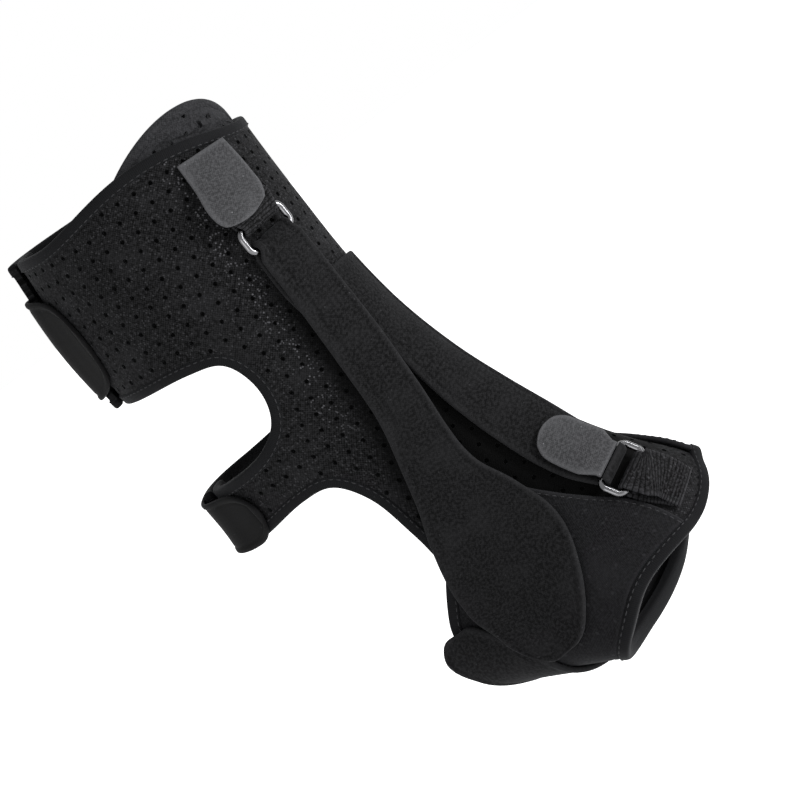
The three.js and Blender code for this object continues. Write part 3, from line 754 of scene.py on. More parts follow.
def dot_rows(n, i):
    """Staggered rows of round dots."""
    apart = n.add("ShaderNodeSeparateXYZ", i0=i["Vector"])
    line = n.math("DIVIDE", apart.outputs[1], n.math("MULTIPLY", i["Pitch"], 0.866))
    line_no = n.math("ROUND", line)
    shift = n.math("MULTIPLY", n.math("PINGPONG", line_no, 1.0), 0.5)
    column = n.math("ADD", n.math("DIVIDE", apart.outputs[0], i["Pitch"]), shift)
    across = n.math("SUBTRACT", column, n.math("ROUND", column))
    along = n.math("MULTIPLY", n.math("SUBTRACT", line, line_no), 0.866)
    place = n.add("ShaderNodeCombineXYZ", X=across, Y=along)
    distance = n.math("MULTIPLY", n.length(place.outputs[0]), i["Pitch"])
    half = n.math("MULTIPLY", i["Width"], 0.5)
    return {"Mask": n.step(distance, n.math("MULTIPLY", half, 0.6), n.math("MULTIPLY", half, 1.3), 1, 0)}


def cords(n, i):
    """Cords side by side, as on webbing or a ribbed tape."""
    apart = n.add("ShaderNodeSeparateXYZ", i0=i["Vector"])
    turn = n.math("MULTIPLY", apart.outputs[1], n.math("DIVIDE", math.pi, i["Pitch"]))
    return {"Height": n.math("ABSOLUTE", n.math("SINE", turn))}


# The shared effects with the numbers that they take beside a vector
EFFECTS = {
    "Fabric grain": (fabric_grain, {"Pitch": 0.001, "Fuzz": 0.5}),
    "Rubbed patches": (rubbed_patches, {"Patch": 0.02}),
    "Lint": (lint_specks, {"Spacing": 0.003, "Share": 0.2, "Size": 0.16}),
    "Dot rows": (dot_rows, {"Pitch": 0.008, "Width": 0.002}),
    "Cords": (cords, {"Pitch": 0.001}),
}


def effect_tree(name):
    """Builds an effect's node group once: a vector and numbers in, masks, tones or heights out."""
    if name in bpy.data.node_groups:
        return bpy.data.node_groups[name]
    fill, numbers = EFFECTS[name]
    tree = bpy.data.node_groups.new(name, "ShaderNodeTree")
    tree.interface.new_socket(name="Vector", in_out="INPUT", socket_type="NodeSocketVector")
    for key, value in numbers.items():
        tree.interface.new_socket(name=key, in_out="INPUT", socket_type="NodeSocketFloat").default_value = value
    into, out = tree.nodes.new("NodeGroupInput"), tree.nodes.new("NodeGroupOutput")
    for key, socket in fill(Nodes(tree), into.outputs).items():
        tree.interface.new_socket(name=key, in_out="OUTPUT", socket_type="NodeSocketFloat")
        tree.links.new(socket, out.inputs[key])
    return tree


def new_material(name):
    material = bpy.data.materials.get(name)
    if material:
        return material, None, None
    material = bpy.data.materials.new(name)
    material.use_nodes = True
    shader = material.node_tree.nodes["Principled BSDF"]
    return material, Nodes(material.node_tree), shader


def effect(n, name, **inputs):
    return n.add("ShaderNodeGroup", {"node_tree": effect_tree(name)}, **inputs).outputs


def shade(n, colour_a, colour_b, mask):
    mixed = n.add("ShaderNodeMix", {"data_type": "RGBA"}, i0=mask)
    n.put(mixed, 6, colour_a)
    n.put(mixed, 7, colour_b)
    return mixed.outputs[2]


def rgba(value, gain=1.0):
    return tuple(min(1.0, c * gain) for c in value) + (1.0,)


def fabric(name, tint, pitch, fuzz, grain_depth, roughness, sheen, light=1.5, dark=0.62, patch=0.02, lint=0.12,
           ribs=None, dots=None, use_uv=True, knit=None):
    """A cloth: grain, rubbed patches, paler edges and lint, and ribs, dots or knit where it has them. With knit it
    also paints a highlight band of flecks and painted shade where the mesh marks them, and painted shade in the holes.

    tint is its colour, and light and dark are gains on it. Pitches, depths and patch are in metres.
    """
    material, n, shader = new_material(name)
    if n is None:
        return material
    coordinates = n.add("ShaderNodeTexCoord").outputs["UV" if use_uv else "Object"]
    grain = effect(n, "Fabric grain", Vector=coordinates, Pitch=pitch, Fuzz=fuzz)
    worn = effect(n, "Rubbed patches", Vector=coordinates, Patch=patch)
    base = shade(n, rgba(tint, dark), rgba(tint, light), grain["Tone"])
    base = shade(n, base, rgba(tint, 1.25 * light), n.math("MULTIPLY", worn["Mask"], 0.45))
    height_sum = n.math("MULTIPLY", grain["Height"], grain_depth)
    if use_uv:
        base = shade(n, base, rgba(tint, 1.8 * light), n.math("MULTIPLY", n.mark("edge"), 0.5))
    if ribs:
        ridge = effect(n, "Cords", Vector=coordinates, Pitch=ribs[0])["Height"]
        base = shade(n, rgba(tint, 0.45), base, n.step(ridge, 0.05, 0.6))
        height_sum = n.math("MULTIPLY_ADD", ridge, ribs[1], height_sum)
    if dots:
        spots = effect(n, "Dot rows", Vector=coordinates, Pitch=dots[0], Width=dots[1])
        base = shade(n, base, rgba(tint, dots[2]), spots["Mask"])
        height_sum = n.math("MULTIPLY_ADD", spots["Mask"], dots[3], height_sum)
    if lint:
        specks = effect(n, "Lint", Vector=coordinates, Spacing=2.2 * MM, Share=lint, Size=0.16 + 0.2 * lint)
        base = shade(n, base, rgba(tint, 5.0 + 22 * lint * lint), n.math("MULTIPLY", specks["Mask"], 0.5))
    if knit:
        flecks = effect(n, "Lint", Vector=coordinates, Spacing=knit[0], Share=0.55, Size=0.42)
        # Partly painted highlight: the pale flecks are the knit's own, and in the band the mesh marks, more of them
        # are painted in as light caught on glossy fibres.
        share = n.math("MULTIPLY_ADD", n.mark("flecks"), 0.7, 0.3)
        base = shade(n, base, rgba(tint, knit[1]), n.math("MULTIPLY", flecks["Mask"], share))
        # Painted shade: where the mesh marks it, the knit is painted nearly black, for the shade between the straps
        # and the side strap's shadow.
        base = shade(n, base, rgba(tint, 0.10), n.mark("flap"))
        # Painted shade: the bottoms of the pressed holes are painted nearly black.
        base = shade(n, base, rgba(tint, 0.06), n.step(n.mark("hole"), 0.05, 0.5))
    n.put(shader, "Base Color", base)
    n.put(shader, "Roughness", n.math("MULTIPLY_ADD", grain["Tone"], -0.08, roughness))
    shader.inputs["Sheen Weight"].default_value = sheen
    shader.inputs["Sheen Roughness"].default_value = 0.45
    shader.inputs["Sheen Tint"].default_value = (0.75, 0.77, 0.82, 1)
    shader.inputs["Specular IOR Level"].default_value = 0.05
    bump = n.add("ShaderNodeBump", Strength=1.0, Distance=1.0, Height=height_sum)
    n.put(shader, "Normal", bump.outputs[0])
    return material


# Each cloth's name and settings. ribs is pitch and height, dots is pitch, width, gain and height, and knit is the
# spacing and gain of its pale flecks.
CLOTHS = {
    "neoprene": ("Perforated neoprene", dict(
        pitch=1.3 * MM, fuzz=0.8, grain_depth=0.20 * MM, roughness=0.85, sheen=0.02, light=2.2, dark=0.25,
        knit=(1.3 * MM, 13))),
    "pad": ("Pad knit", dict(
        pitch=1.1 * MM, fuzz=0.8, grain_depth=0.14 * MM, roughness=0.85, sheen=0.04, light=1.5, dark=0.6, lint=0,
        knit=(1.4 * MM, 2.5))),
    "loop": ("Brushed loop", dict(
        pitch=1.0 * MM, fuzz=0.8, grain_depth=0.10 * MM, roughness=0.95, sheen=0.03, light=1.6, dark=0.6, lint=0.1,
        dots=(12 * MM, 1.5 * MM, 2.1, -0.15 * MM))),
    "strap": ("Suede loop strap", dict(
        pitch=1.1 * MM, fuzz=0.9, grain_depth=0.14 * MM, roughness=0.95, sheen=0.03, light=1.7, dark=0.5)),
    "closure": ("Closure tab", dict(
        pitch=0.6 * MM, fuzz=0.7, grain_depth=0.04 * MM, roughness=0.70, sheen=0.005, light=0.7, dark=0.45)),
    "binding": ("Binding tape", dict(
        pitch=0.6 * MM, fuzz=0.5, grain_depth=0.05 * MM, roughness=0.8, sheen=0.03, light=1.3, dark=0.7,
        ribs=(0.8 * MM, 0.04 * MM))),
    "webbing": ("Ribbed webbing", dict(
        pitch=1.0 * MM, fuzz=0.9, grain_depth=0.20 * MM, roughness=0.80, sheen=0.01, light=5.5, dark=0.1, lint=0.7,
        ribs=(1.5 * MM, 0.05 * MM))),
    "hook": ("Hook tape", dict(
        pitch=1.0 * MM, fuzz=0.85, grain_depth=0.16 * MM, roughness=0.8, sheen=0.03, light=1.35, dark=0.65, lint=0.1)),
    "thread": ("Sewing thread", dict(
        pitch=0.4 * MM, fuzz=0.4, grain_depth=0.04 * MM, roughness=0.7, sheen=0.05, lint=0, use_uv=False)),
}


def cloth(kind):
    """A cloth's material. The closure tabs are cut from the straps' cloth and share its colour."""
    name, settings = CLOTHS[kind]
    return fabric(name, getattr(colours(), "strap" if kind == "closure" else kind), **settings)


def steel_material():
    material, n, shader = new_material("Plated wire")
    if n is None:
        return material
    place = n.add("ShaderNodeTexCoord").outputs["Object"]
    haze = n.noise(place, 160, 4, 0.6)
    fine = n.noise(place, 1400, 2, 0.5)
    tone = shade(n, rgba(colours().steel, 0.88), rgba(colours().steel), n.step(haze, 0.35, 0.65))
    n.put(shader, "Base Color", tone)
    n.put(shader, "Roughness", n.math("MULTIPLY_ADD", haze, 0.16, 0.12))
    shader.inputs["Metallic"].default_value = 1.0
    bump = n.add("ShaderNodeBump", Strength=1.0, Distance=1.0, Height=n.math("MULTIPLY", fine, 0.002 * MM))
    n.put(shader, "Normal", bump.outputs[0])
    return material


# Sleeve and pad: perforated sheets laid out flat and wrapped round the skin

EDGE_COVER = 3.2 * MM  # How far cloth runs on into the bound edge at the toe end and the wrap's rear
SEAM_INSET = 1.7 * MM  # From the edge of a band to its stitches


class Layout:
    """A flat pattern on the skin: u runs round from a line down the front, v down along it, both in metres."""

    def __init__(self, line_turn, turns, first_row, last_row, base_lift):
        rows = np.linspace(first_row, last_row, 260)
        front = over(rows, line_turn + 0 * rows, base_lift + 0 * rows)
        self.v = lengths(front)
        self.rows = rows
        angles = np.linspace(turns[0], turns[1], 400)
        grid_row, grid_turn = np.meshgrid(rows, angles, indexing="ij")
        points = over(grid_row, grid_turn, base_lift + arm_lift(grid_turn))
        steps = np.linalg.norm(np.diff(points, axis=1), axis=-1)
        around = np.concatenate([np.zeros((len(rows), 1)), np.cumsum(steps, 1)], 1)
        start = np.array([np.interp(line_turn, angles, line) for line in around])
        around -= start[:, None]
        self.u = np.linspace(around.min(), around.max(), 500)
        self.turns = np.array([np.interp(self.u, line, angles, left=-999, right=999) for line in around])
        for k, line in enumerate(around):
            slope = (angles[1] - angles[0]) / (line[-1] - line[-2])
            self.turns[k] = np.where(self.u > line[-1], turns[1] + (self.u - line[-1]) * slope, self.turns[k])
            self.turns[k] = np.where(self.u < line[0], turns[0] + (self.u - line[0]) * slope, self.turns[k])

    def place(self, u, v):
        row = np.interp(v, self.v, self.rows)
        a = np.clip(np.interp(v, self.v, np.arange(len(self.v))), 0, len(self.v) - 1.001)
        b = np.clip((u - self.u[0]) / (self.u[1] - self.u[0]), 0, len(self.u) - 1.001)
        i, j = a.astype(int), b.astype(int)
        fa, fb = a - i, b - j
        t = self.turns
        turn = ((t[i, j] * (1 - fb) + t[i, j + 1] * fb) * (1 - fa)
                + (t[i + 1, j] * (1 - fb) + t[i + 1, j + 1] * fb) * fa)
        return row, turn


def hole_middles(inside_edge):
    """Which points of a grid are the middles of staggered holes that lie whole inside the edge."""
    down, across = inside_edge.shape
    i, j = np.indices(inside_edge.shape)
    whole = np.zeros_like(inside_edge)
    whole[2:-2, 2:-2] = np.all([inside_edge[2 + a:down - 2 + a, 2 + b:across - 2 + b]
                                for a in (-2, 0, 2) for b in (-2, 0, 2)], axis=0)
    return whole & (((i % 8 == 2) & (j % 4 == 2)) | ((i % 8 == 6) & (j % 4 == 0)))


def perforated(name, layout, keep, lift, wall, limits=(-math.inf, math.inf), marks=lambda row, turn: {}):
    """A perforated sheet: a grid in the flat pattern, cut to its outline, pierced, wrapped, and given its wall."""
    s = sizes()
    du, dv = s.hole_pitch / 4, s.hole_pitch * math.sqrt(3) / 8
    across = np.arange(layout.u[0], layout.u[-1] + du, du)
    down = np.arange(0, layout.v[-1] + dv, dv)
    v, u = np.meshgrid(down, across, indexing="ij")
    inside_edge = keep(*layout.place(u, v))
    centres = hole_middles(inside_edge)
    reach = s.hole_width / 2 * 1.03
    for ci, cj in zip(*np.nonzero(centres)):
        for a in (-1, 0, 1):
            for b in (-1, 0, 1):
                if a or b:
                    angle = math.atan2(a, b)
                    u[ci + a, cj + b] = u[ci, cj] + reach * math.cos(angle)
                    v[ci + a, cj + b] = v[ci, cj] + reach * math.sin(angle)
    row, turn = layout.place(u, v)
    turn = np.clip(turn, *limits)
    obj = grid_mesh(name, over(row, turn, lift(row, turn)), np.stack([u, v], -1), merge=0,
                    hole=centres.astype(float), **marks(row, turn))
    mesh = obj.data
    kept = inside_edge[:-1, :-1] & inside_edge[1:, :-1] & inside_edge[:-1, 1:] & inside_edge[1:, 1:]
    # A face's place in the grid follows from its first corner, because the points are numbered row by row
    first = np.array([min(p.vertices) for p in mesh.polygons])
    select_faces(obj, ~kept[first // len(across), first % len(across)])
    bpy.ops.mesh.delete(type="FACE")
    bpy.ops.mesh.select_mode(type="VERT")
    bpy.ops.mesh.select_all(action="SELECT")
    bpy.ops.mesh.remove_doubles(threshold=0.02 * MM)
    bpy.ops.mesh.delete_loose(use_verts=True, use_edges=True, use_faces=False)
    bpy.ops.mesh.select_all(action="SELECT")
    bpy.ops.mesh.normals_make_consistent(inside=False)
    bpy.ops.object.mode_set(mode="OBJECT")
    centre = np.mean([v.co for v in mesh.vertices], axis=0)
    votes = sum(1 if (np.array(p.center) - centre) @ np.array(p.normal) > 0 else -1 for p in mesh.polygons)
    if votes < 0:
        bpy.ops.object.mode_set(mode="EDIT")
        bpy.ops.mesh.flip_normals()
        bpy.ops.object.mode_set(mode="OBJECT")
    thicken = obj.modifiers.new("Wall", "SOLIDIFY")
    thicken.thickness, thicken.offset = wall, 0
    bpy.ops.object.modifier_apply(modifier=thicken.name)
    marked = np.zeros(len(mesh.vertices), np.float32)
    mesh.attributes["hole"].data.foreach_get("value", marked)
    select_faces(obj, np.array([max(marked[k] for k in p.vertices) > 0.5 for p in mesh.polygons]))
    bpy.ops.mesh.inset(thickness=0.10 * MM, depth=-0.40 * wall, use_boundary=True, use_even_offset=False)
    bpy.ops.object.mode_set(mode="OBJECT")
    bpy.ops.object.shade_smooth_by_angle(angle=math.radians(40))
    return obj


def select_faces(obj, chosen):
    """Selects the chosen faces and leaves the piece in edit mode."""
    select_only(obj)
    bpy.ops.object.mode_set(mode="EDIT")
    bpy.ops.mesh.select_mode(type="FACE")
    bpy.ops.mesh.select_all(action="DESELECT")
    bpy.ops.object.mode_set(mode="OBJECT")
    obj.data.polygons.foreach_set("select", chosen)
    bpy.ops.object.mode_set(mode="EDIT")


def sleeve_keeps(row, turn):
    """Where the sleeve's cloth lies, which ends hidden inside its bound edges."""
    point = over(row, turn, sizes().sleeve_wall / 2 + arm_lift(turn))
    x, z = point[..., 0], point[..., 2]
    hidden = 0.3 * sizes().binding_width
    open_side = inside(outline(WINDOW, hidden), x, z) | inside(outline(HEEL, hidden), x, z)
    beyond = toe_edge(turn) + rows_for(np.clip(row, 9, 12), turn, EDGE_COVER)
    above = rim_edge(turn) - rows_for(rim_edge(turn), turn, EDGE_COVER + MM)
    return (~open_side) & (row > above) & (row < beyond) & (turn > ARM_ENDS[0] - 1.5) & (turn < ARM_ENDS[1] + 1.5)


def sleeve_marks(row, turn):
    """Marks for the sleeve's knit: a band beside the side strap where the pale flecks are painted in full as a
    highlight, and painted shade, nearly black, over the instep between the straps and as the side strap's shadow
    beside it.
    """
    band = np.interp(row, (1.0, 1.5, 2.2, 2.8, 3.6, 4.2, 4.8), (46.5, 47.5, 48.5, 50, 54, 60, 64))
    # Painted highlight: all pale flecks show in this band, as light caught on glossy fibres, and fewer show elsewhere.
    boosted = (1 - smooth(2.5, 6.5, np.abs(turn - band))) * (1 - smooth(4.2, 5.2, row))
    # Painted shade: the sleeve over the instep, between and under the straps, is painted nearly black.
    flap = smooth(4.3, 5.4, row) * (1 - smooth(9.3, 10.2, row)) * (1 - smooth(42, 54, np.abs(turn)))
    strap = np.interp(row, (2.4, 3.0, 3.9, 4.9, 5.7, 6.3), (30, 30, 34, 41, 48, 53))
    # Painted shadow: a band beside the side strap, where its shadow falls on the sleeve, is painted dark.
    beside = smooth(2.3, 3.3, row) * (1 - smooth(6.0, 7.0, row)) * (1 - smooth(12, 20, np.abs(turn - strap)))
    return {"flecks": boosted * (1 - beside), "flap": np.maximum(flap, 0.85 * beside)}


def soft_waves(row, turn, amount):
    """Slow unevenness of soft cloth that has been worn."""
    a, b = np.radians(turn), row
    return amount * (np.sin(3 * a + 1.7 * b) * np.sin(2.3 * b + 0.7) + 0.6 * np.sin(7 * a - 1.1 * b + 2))


def sleeve_lift(row, turn):
    return sizes().sleeve_wall / 2 + arm_lift(turn) + soft_waves(row, turn, 0.12 * MM)


SLEEVE_LINE = 40  # Where the sleeve's flat pattern starts, in degrees
PAD_MIDDLE, PAD_SPAN = 27, 62  # The pad's middle and half its reach, in degrees
PAD_RIDGE, PAD_RIDGE_PITCH = 0.9 * MM, 5.5 * MM
PAD_FOOT = 1.9  # The row where the pad ends, hidden inside the sleeve


def pad_arch(turn):
    """The top end of the pad as rows."""
    return 0.46 + 0.18 * ((turn - PAD_MIDDLE) / 32) ** 2


def pad_depth():
    return -sizes().binding_proud - sizes().clearance - sizes().pad_wall / 2


def pad_lift(row, turn):
    """Middle of the pad, with soft ridges that run side by side with the rim."""
    s = sizes()
    row_length = 0.20 * s.leg_height
    above = (rim_edge(turn) - row) * row_length
    ridges = PAD_RIDGE * np.cos(2 * math.pi * above / PAD_RIDGE_PITCH) * smooth(-2 * MM, 3 * MM, above)
    inner = smooth(4 * MM, 9 * MM, (row - pad_arch(turn)) * row_length)
    return pad_depth() + ridges * inner


class SPLINT_OT_sleeve(Operator):
    """Models the perforated sleeve round shin, calf, ankle and instep."""
    bl_idname = "splint.sleeve"
    bl_label = "Sleeve"

    def execute(self, context):
        s = sizes()
        layout = Layout(SLEEVE_LINE, (ARM_ENDS[0] - 4, ARM_ENDS[1] + 4), 0.72, 12.4, s.sleeve_wall / 2)
        sleeve = perforated("sleeve_body", layout, sleeve_keeps, sleeve_lift, s.sleeve_wall, ARM_ENDS, sleeve_marks)
        place_piece(sleeve, "neoprene", cloth("neoprene"), "leg_sleeve")
        return {"FINISHED"}


class SPLINT_OT_shin_pad(Operator):
    """Models the arched pad inside the front of the rim."""
    bl_idname = "splint.shin_pad"
    bl_label = "Shin pad"

    def execute(self, context):
        first, last = PAD_MIDDLE - PAD_SPAN, PAD_MIDDLE + PAD_SPAN
        layout = Layout(PAD_MIDDLE, (first - 4, last + 4), 0.3, 2.1, pad_lift(1.0, PAD_MIDDLE))

        def keeps(row, turn):
            top = pad_arch(turn) + rows_for(row, turn, 1.2 * MM)
            return (row > top - 0.02) & (row < PAD_FOOT) & (turn > first) & (turn < last)

        pad = perforated("shin_cushion", layout, keeps, pad_lift, sizes().pad_wall)
        place_piece(pad, "neoprene", cloth("pad"), "shin_pad")

        turn = np.linspace(first + 1, last - 1, 160)[::-1]
        row = pad_arch(turn) + rows_for(pad_arch(turn), turn, 2.0 * MM)
        down = np.linspace(row[0] + 0.02, PAD_FOOT - 0.02, 30)
        row = np.concatenate([down[::-1], row, down])
        turn = np.concatenate([np.full(30, turn[0]), turn, np.full(30, turn[-1])])
        points, out = resampled(over(row, turn, pad_depth() + 0 * row), 1.5 * MM, normal(row, turn))
        edge = cord_body("shin_cushion_edge", points, unit(out), 2.4 * MM, sizes().pad_wall / 2 + 0.6 * MM)
        place_piece(edge, "neoprene", cloth("pad"))
        return {"FINISHED"}


class EdgePath:
    """A bound edge's middle line with its outward normals and half height."""

    def __init__(self, row, turn, lift, half_height, closed=False):
        lines = [over(row, turn, lift), normal(row, turn), np.broadcast_to(half_height, np.shape(row))[:, None]]
        self.closed = closed
        points, out, half = resampled(*self.ring(lines[0]), 1.5 * MM, *self.ring(*lines[1:]))
        last = -1 if closed else None
        self.points, self.out, self.half = points[:last], unit(out[:last]), half[:last, 0]
        for _ in range(3):
            self.points, self.half = self.eased(self.points), self.eased(self.half)

    def ring(self, *lines):
        """The lines, with the first entry of each repeated at its end where the edge is closed."""
        return [np.concatenate([line, line[:1]]) if self.closed else line for line in lines]

    def eased(self, values):
        """Each value drawn a little towards its neighbours."""
        if self.closed:
            return (np.roll(values, 1, 0) + 2 * values + np.roll(values, -1, 0)) / 4
        result = values.copy()
        result[1:-1] = (values[:-2] + 2 * values[1:-1] + values[2:]) / 4
        return result

    def body(self, name):
        return cord_body(name, self.points, self.out, sizes().binding_width / 2, self.half, closed=self.closed)

    def seam(self, offset):
        """A line on the outer face, at an offset towards the cloth."""
        points, out, half = self.ring(self.points, self.out, self.half)
        ahead = unit(np.gradient(points, axis=0))
        across = unit(np.cross(out, ahead))
        return points + across * offset + out * (half[:, None] * 0.97), out


def bound_edges():
    """Middle lines of all bound edges, by the CAD node that each stands for."""
    s = sizes()
    half_width, proud, inset = s.binding_width / 2, s.binding_proud, 1.3 * s.clearance
    mid, flat = s.sleeve_wall / 2, s.sleeve_wall / 2 + proud
    turn = np.linspace(*ARM_ENDS, 400)
    edge = rim_edge(turn) - rows_for(rim_edge(turn), turn, inset + half_width)
    paths = {"rim_binding": EdgePath(edge, turn, mid + arm_lift(turn), flat)}
    for node, shares in (("window_binding", WINDOW), ("heel_binding", HEEL)):
        for side, ending in ((1, "outer"), (-1, "inner")):
            row, turn = edge_places(shares, side, half_width, mid).T
            if shares is HEEL:
                highest = np.argmax(over(row, turn, mid + 0 * row)[:, 2])
                wrapped = row > np.maximum(6, wrap_rear(turn) - rows_for(row, turn, 3 * inset + half_width * 2))
                kept = (np.arange(len(row)) <= highest) | ~wrapped
                row, turn = row[kept], turn[kept]
            paths[f"{node}_{ending}"] = EdgePath(row, turn, mid + arm_lift(turn), flat)
    turn = np.linspace(0, 360, 361)[:-1]
    signed = (turn + 180) % 360 - 180
    row = toe_edge(signed) + rows_for(11 + 0 * turn, turn, 1.6 * inset + half_width)
    high = proud + mix(s.sleeve_wall, over_wrap() - s.clearance, smooth(20, 32, np.minimum(turn, 360 - turn)))
    paths["toe_binding"] = EdgePath(row, turn, (high - proud) / 2, (high + proud) / 2, closed=True)
    turn = np.linspace(wrap_top(6.5), 360 - wrap_top(6.5), 300)
    row = wrap_rear(turn) - rows_for(wrap_rear(turn), turn, inset + half_width)
    high = s.wrap_wall + proud
    paths["wrap_binding"] = EdgePath(row, turn, under_wrap() + high / 2 + 0 * turn, high / 2)
    return paths


# Seen from outside, the cloth lies on the left hand of these lines, and on the right hand of the others
CLOTH_ON_LEFT = ("rim_binding", "window_binding_outer", "heel_binding_outer", "wrap_binding")


class SPLINT_OT_bound_edges(Operator):
    """Models the bound edges with their stitched lines."""
    bl_idname = "splint.bound_edges"
    bl_label = "Bound edges"

    def execute(self, context):
        for node, path in bound_edges().items():
            name = node.replace("binding", "edge")
            place_piece(path.body(name), "binding", cloth("binding"), node)
            reach = 0.62 * sizes().binding_width / 2 * (1 if node in CLOTH_ON_LEFT else -1)
            sew(name + "_stitches", "binding", [path.seam(reach)])
        return {"FINISHED"}


class SPLINT_OT_foot_wrap(Operator):
    """Models the wrap round the forefoot and the strap under the sole."""
    bl_idname = "splint.foot_wrap"
    bl_label = "Foot wrap"

    def execute(self, context):
        s = sizes()
        around, ahead = np.meshgrid(np.linspace(0, 1, 240), np.linspace(0, 1, 70))
        swing = np.cos(math.pi * around)
        around = np.clip(0.5 - 0.5 * swing * (0.35 + 0.65 * np.abs(swing)), 0, 1)
        top = wrap_top(mix(6.5, 11.5, ahead))
        turn = mix(top, 360 - top, around)
        signed = (turn + 180) % 360 - 180
        hidden = rows_for(wrap_rear(turn), turn, EDGE_COVER)
        row = mix(wrap_rear(turn) - hidden, toe_edge(signed) + hidden, ahead)
        lift = under_wrap() + s.wrap_wall / 2 + soft_waves(row, signed, 0.08 * MM)
        middle, out = over(row, turn, lift), normal(row, turn)
        u = np.stack([lengths(line) for line in middle])
        u -= u[:, -1:] / 2
        v = np.stack([lengths(line) for line in middle.transpose(1, 0, 2)], 1)
        distance = np.minimum(np.minimum(u - u[:, :1], u[:, -1:] - u), np.minimum(v, v[-1:] - v))
        relief = groove(distance, 3.4 * MM, 0.25 * MM, 0.7 * MM)
        wrap = pillow("wrap_body", middle, out, distance, np.stack([u, v], -1), s.wrap_wall, relief=relief)
        place_piece(wrap, "loop_fabric", cloth("loop"), "foot_wrap")
        lines = []
        for inset in (u - u[:, :1], u[:, -1:] - u):
            pick = np.argmin(np.abs(inset - 1.9 * MM), axis=1)
            at = np.arange(len(pick))
            lines.append((middle[at, pick] + out[at, pick] * s.wrap_wall / 2, out[at, pick]))
        sew("wrap_stitches", "loop_fabric", lines)

        low, high = over_wrap() + s.drape, over_binding()
        table = band_table(
            (9.3, 258, 0.5, low), (9.5, 225, 0.5, low), (9.6, 190, 0.5, low), (9.5, 160, 0.5, low),
            (9.15, 137, 0.5, low), (8.6, 119, 0.48, low),
            (8.0, 107, 0.46, high), (7.6, 102, 0.38, high), (7.36, 98, 0.18, high))
        band = Band(table, s.strap_wall, width=s.sole_strap_width, round_end=5 * MM)
        place_piece(band.build("sole_band", edge_relief), "strap", cloth("strap"), "sole_strap")
        sew("sole_band_stitches", "strap", band.seam(SEAM_INSET))
        return {"FINISHED"}


def edge_relief(distance, uv):
    """A sewn border that stands a little proud, with a pressed line beside it."""
    border = 0.4 * MM * (1 - smooth(2.0 * MM, 3.2 * MM, distance))
    return border + groove(distance, 3.1 * MM, 0.25 * MM, 0.5 * MM)


def side_relief(distance, uv):
    """The sewn border, and the long crease inside the strap's rear edge."""
    along = smooth(24 * MM, 40 * MM, uv[..., 1]) * (1 - smooth(120 * MM, 150 * MM, uv[..., 1]))
    crease = groove(distance, 4.6 * MM, 0.5 * MM, 0.8 * MM) * along * (uv[..., 0] < 0)
    slow = 0.18 * MM * np.sin(uv[..., 1] / (17 * MM)) * np.sin(uv[..., 0] / (9 * MM) + 1)
    return edge_relief(distance, uv) + crease + slow


class SPLINT_OT_closures(Operator):
    """Models the rounded closure tabs at the back of cuff and ankle band."""
    bl_idname = "splint.closures"
    bl_label = "Closure tabs"

    def execute(self, context):
        s = sizes()
        base, step = over_sleeve(), arm_step()
        calf = band_table(
            (2.0, 190, 0.5, base + step), (2.0, 172, 0.5, base + step), (2.0, 155, 0.5, base + 1.04 * step),
            (2.0, 144, 0.46, base + 0.35 * step), (2.0, 136, 0.37, base), (2.0, 129, 0.16, base))
        base += s.binding_proud
        ankle = band_table(
            (4.97, 190, 0.5, base + step), (4.99, 173, 0.5, base + step), (5.02, 154, 0.5, base + 1.05 * step),
            (5.04, 138, 0.49, base + 0.25 * step), (5.05, 127, 0.42, base), (5.05, 118, 0.20, base))
        for name, table, width in (("calf", calf, s.calf_tab_width), ("ankle", ankle, s.ankle_tab_width)):
            band = Band(table, s.tab_wall, width=width, columns=41, round_end=4 * MM)
            place_piece(band.build(name + "_closure", edge_relief), "strap", cloth("closure"), name + "_tab")
            sew(name + "_closure_stitches", "strap", band.seam(SEAM_INSET))
        return {"FINISHED"}


# Rings and what is folded round them

class RingFrame:
    """A ring's own axes on the skin: down the leg, across, and out."""

    def __init__(self, row, turn):
        row, turn = np.array(float(row)), np.array(float(turn))
        self.row, self.turn = float(row), float(turn)
        self.out = normal(row, turn)
        down = unit(slopes(row, turn)[0])
        self.across = unit(np.cross(self.out, down))
        self.down = np.cross(self.across, self.out)
        self.centre = over(row, turn, np.array(ring_lift()))

    def bar_offset(self):
        return (sizes().ring_height - sizes().wire) / 2

    def bar_row(self, side):
        return self.row + side * float(rows_for(np.array(self.row), np.array(self.turn), self.bar_offset() + 4 * MM))

    def loop(self, side, offsets, radius, angle, beyond=0.0):
        """Points and radial direction of a loop round a bar: angle 0 is over it and 180 under it."""
        bar = self.centre + self.down * side * (self.bar_offset() + beyond)
        a = math.radians(angle)
        radial = self.out * math.cos(a) - self.down * side * math.sin(a)
        points = bar + self.across * offsets[:, None] + radial * radius
        return points, np.broadcast_to(radial, points.shape)

    def body(self, name):
        s = sizes()
        half_x, half_y, corner = (s.ring_width - s.wire) / 2, self.bar_offset(), s.wire * 1.1
        path = []
        for k, (x, y) in enumerate(((1, 1), (-1, 1), (-1, -1), (1, -1))):
            for angle in np.radians(np.linspace(0, 90, 10) + 90 * k):
                path.append((x * (half_x - corner) + corner * math.cos(angle),
                             y * (half_y - corner) + corner * math.sin(angle)))
        path = np.array(path)
        points = self.centre + path[:, :1] * self.across + path[:, 1:] * self.down
        return cord_body(name, points, np.broadcast_to(self.out, points.shape), s.wire / 2, s.wire / 2,
                         closed=True, sides=24, squareness=2)


def upper_frame():
    return RingFrame(2.07, 30)


def toe_frame():
    return RingFrame(9.36, 17)


def at_places(values, along, places):
    """Rows of a grid read at other distances along it."""
    at = np.interp(places, along, np.arange(len(along)))
    i = np.clip(at.astype(int), 0, len(along) - 2)
    share = (at - i).reshape((-1,) + (1,) * (values.ndim - 1))
    return values[i] * (1 - share) + values[i + 1] * share


